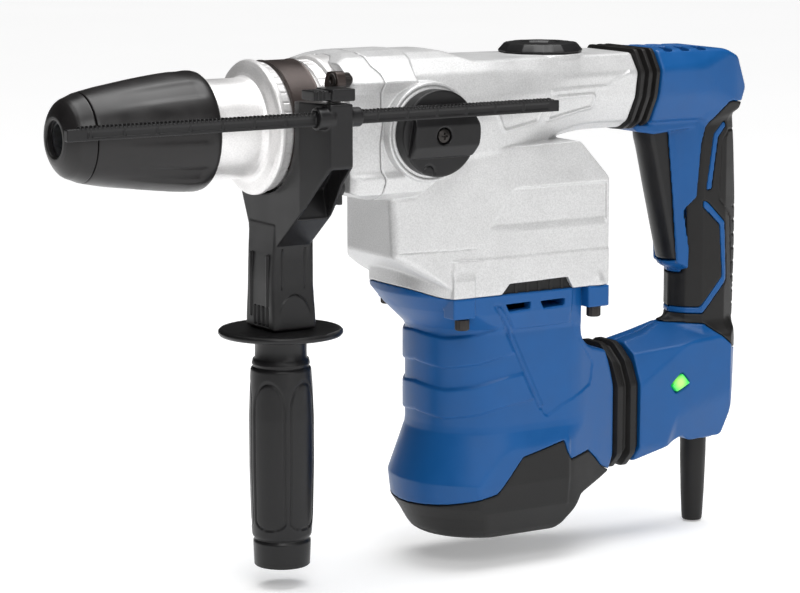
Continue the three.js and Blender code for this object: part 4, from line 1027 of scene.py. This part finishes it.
def clamp_screws():
    cap_screw("clamp_screw", (151.5, -46.5, 291.2), "x", (4.3, 11.5), "side_handle", ["clamp_bolt"],
              shank=1.5)
    lug_outline = rounded([(-44, 281.2), (-39, 281.2), (-36.6, 289), (-40, 296), (-50, 296.4),
                           (-52, 292), (-52, 287.8), (-44, 287.8)], 2)
    piece("strap_lug", plate_mesh("strap_lug", lug_outline, 152.6, 158.4, 0.5), STRAP, "side_handle")


def depth_lever():
    s = Space((124, -73, 279), (156, -48, 292), 0.35)
    body = s.block(138, 153.4, -70.5, -51.8, 281.4, 288.4, 0.7)
    body = join(body, s.block(127.4, 141, -69, -54.5, 282.2, 287.8, 0.6), 0.5)
    for x in (129, 131.4, 133.8):
        for groove in (-80, -40, 287.1, 292, 0.2), (-80, -68.4, 270, 292, 0.2):
            body = cut(body, s.block(x - 0.5, x + 0.5, *groove), 0.3)
    body = cut(body, s.block(137.0, 138.4, -80, -40, 286.4, 292, 0.2), 0.4)
    skin("depth_lever_button", s, body, BLACK, "depth_lever", ["depth_lever"], 16000)


TOOTH_PITCH = 2.5


def depth_rod():
    s = Space((-25, -69, 267), (296, -63, 277), 0.4)
    saw = np.abs(np.mod(s.x - 1.2, TOOTH_PITCH) / TOOTH_PITCH - 0.5) * 2
    toothed = ramp(s.x, -18, -16) * (1 - ramp(s.x, 290, 292))
    crown = ROD_Z + 2.6 + toothed * 1.5 * np.clip(saw * 1.6 - 0.3, 0, 1)
    body = meet(np.maximum(s.z - crown, ROD_Z - 4 - s.z), s.band("x", -24, 295), 0.6)
    body = meet(body, s.band("y", ROD_Y - 2, ROD_Y + 2), 0.4)
    channel = meet(meet(s.band("z", ROD_Z - 2.3, ROD_Z + 1.0), s.band("x", -12, 288)),
                   1.45 - np.abs(s.y - ROD_Y))
    body = cut(body, cut(channel, bars(s.x, 20.0, 0.7), 0.2), 0.2)
    skin("depth_rod_bar", s, body, BLACK, "depth_rod", ["depth_rod"], 60000)


GRIP_PANELS = 5


def side_grip():
    outside = [(16.0, 0.0), (16.6, 0.6), (17.2, 14), (17.1, 15.2), (16.2, 16), (16.2, 17), (17.2, 17.8),
               (17.7, 19)]
    heights = np.arange(20, 119, 0.8)
    radii = np.interp(heights, [19, 30, 45, 60, 90, 108, 119],
                      [17.7, 18.6, 19.0, 19.35, 19.4, 18.7, 17.9])
    outside += zip(radii.tolist(), heights.tolist())
    outside += [(17.5, 119.4), (16.6, 119.9), (16.5, 120.8), (17.1, 121.4), (17.2, 122), (16.6, 124.6),
                (15.4, 125.4), (15.3, 130), (15.4, 136.6), (17, 137.4), (33, 138.2), (36, 138.8),
                (36.9, 140), (36.8, 141.3), (35.8, 142.3), (34, 142.7), (18, 142.9), (4.3, 142.9)]
    profile = [(0, 0), *outside, (4.3, 60), (0, 60)]
    # One panel faces left of the camera, and the rest follow round the grip.
    view = math.atan2(-math.cos(math.radians(CAMERA_YAW)), math.sin(math.radians(CAMERA_YAW)))
    first = view - math.radians(22)

    def panels(angle, radius, along):
        turn = 2 * math.pi / GRIP_PANELS
        offset = (np.mod(angle - first + turn / 2, turn) - turn / 2) * radius
        half, arch_start, foot_start = 10.2, 96.0, 29.0
        past_arch = np.maximum(along - arch_start, 0) / 16
        past_foot = np.maximum(foot_start - along, 0) / 5
        edge = np.sqrt((offset / half) ** 2 + past_arch ** 2 + past_foot ** 2) * half - half
        groove = np.exp(-(edge / 0.5) ** 2) * 0.8
        sunk = 0.3 * (1 - ramp(edge, -0.4, 0.4))
        active = (along > 19.5) & (along < 118) & (radius > 16.9)
        return radius - (groove + sunk) * active

    turned("side_grip_handle", profile, "z", GRIP_AT, BLACK, "side_grip", ["side_grip"], 240, wave=panels)


# ---- assembly ----
studio()
dress_frame()
chuck()
barrel()
gear_case()
grease_cap()
motor_screws()
knob()
motor_housing()
base_cap()
both_bellows()
handle()
trigger()
cable_boot()
strap()
clamp_bracket()
clamp_screws()
depth_lever()
depth_rod()
side_grip()
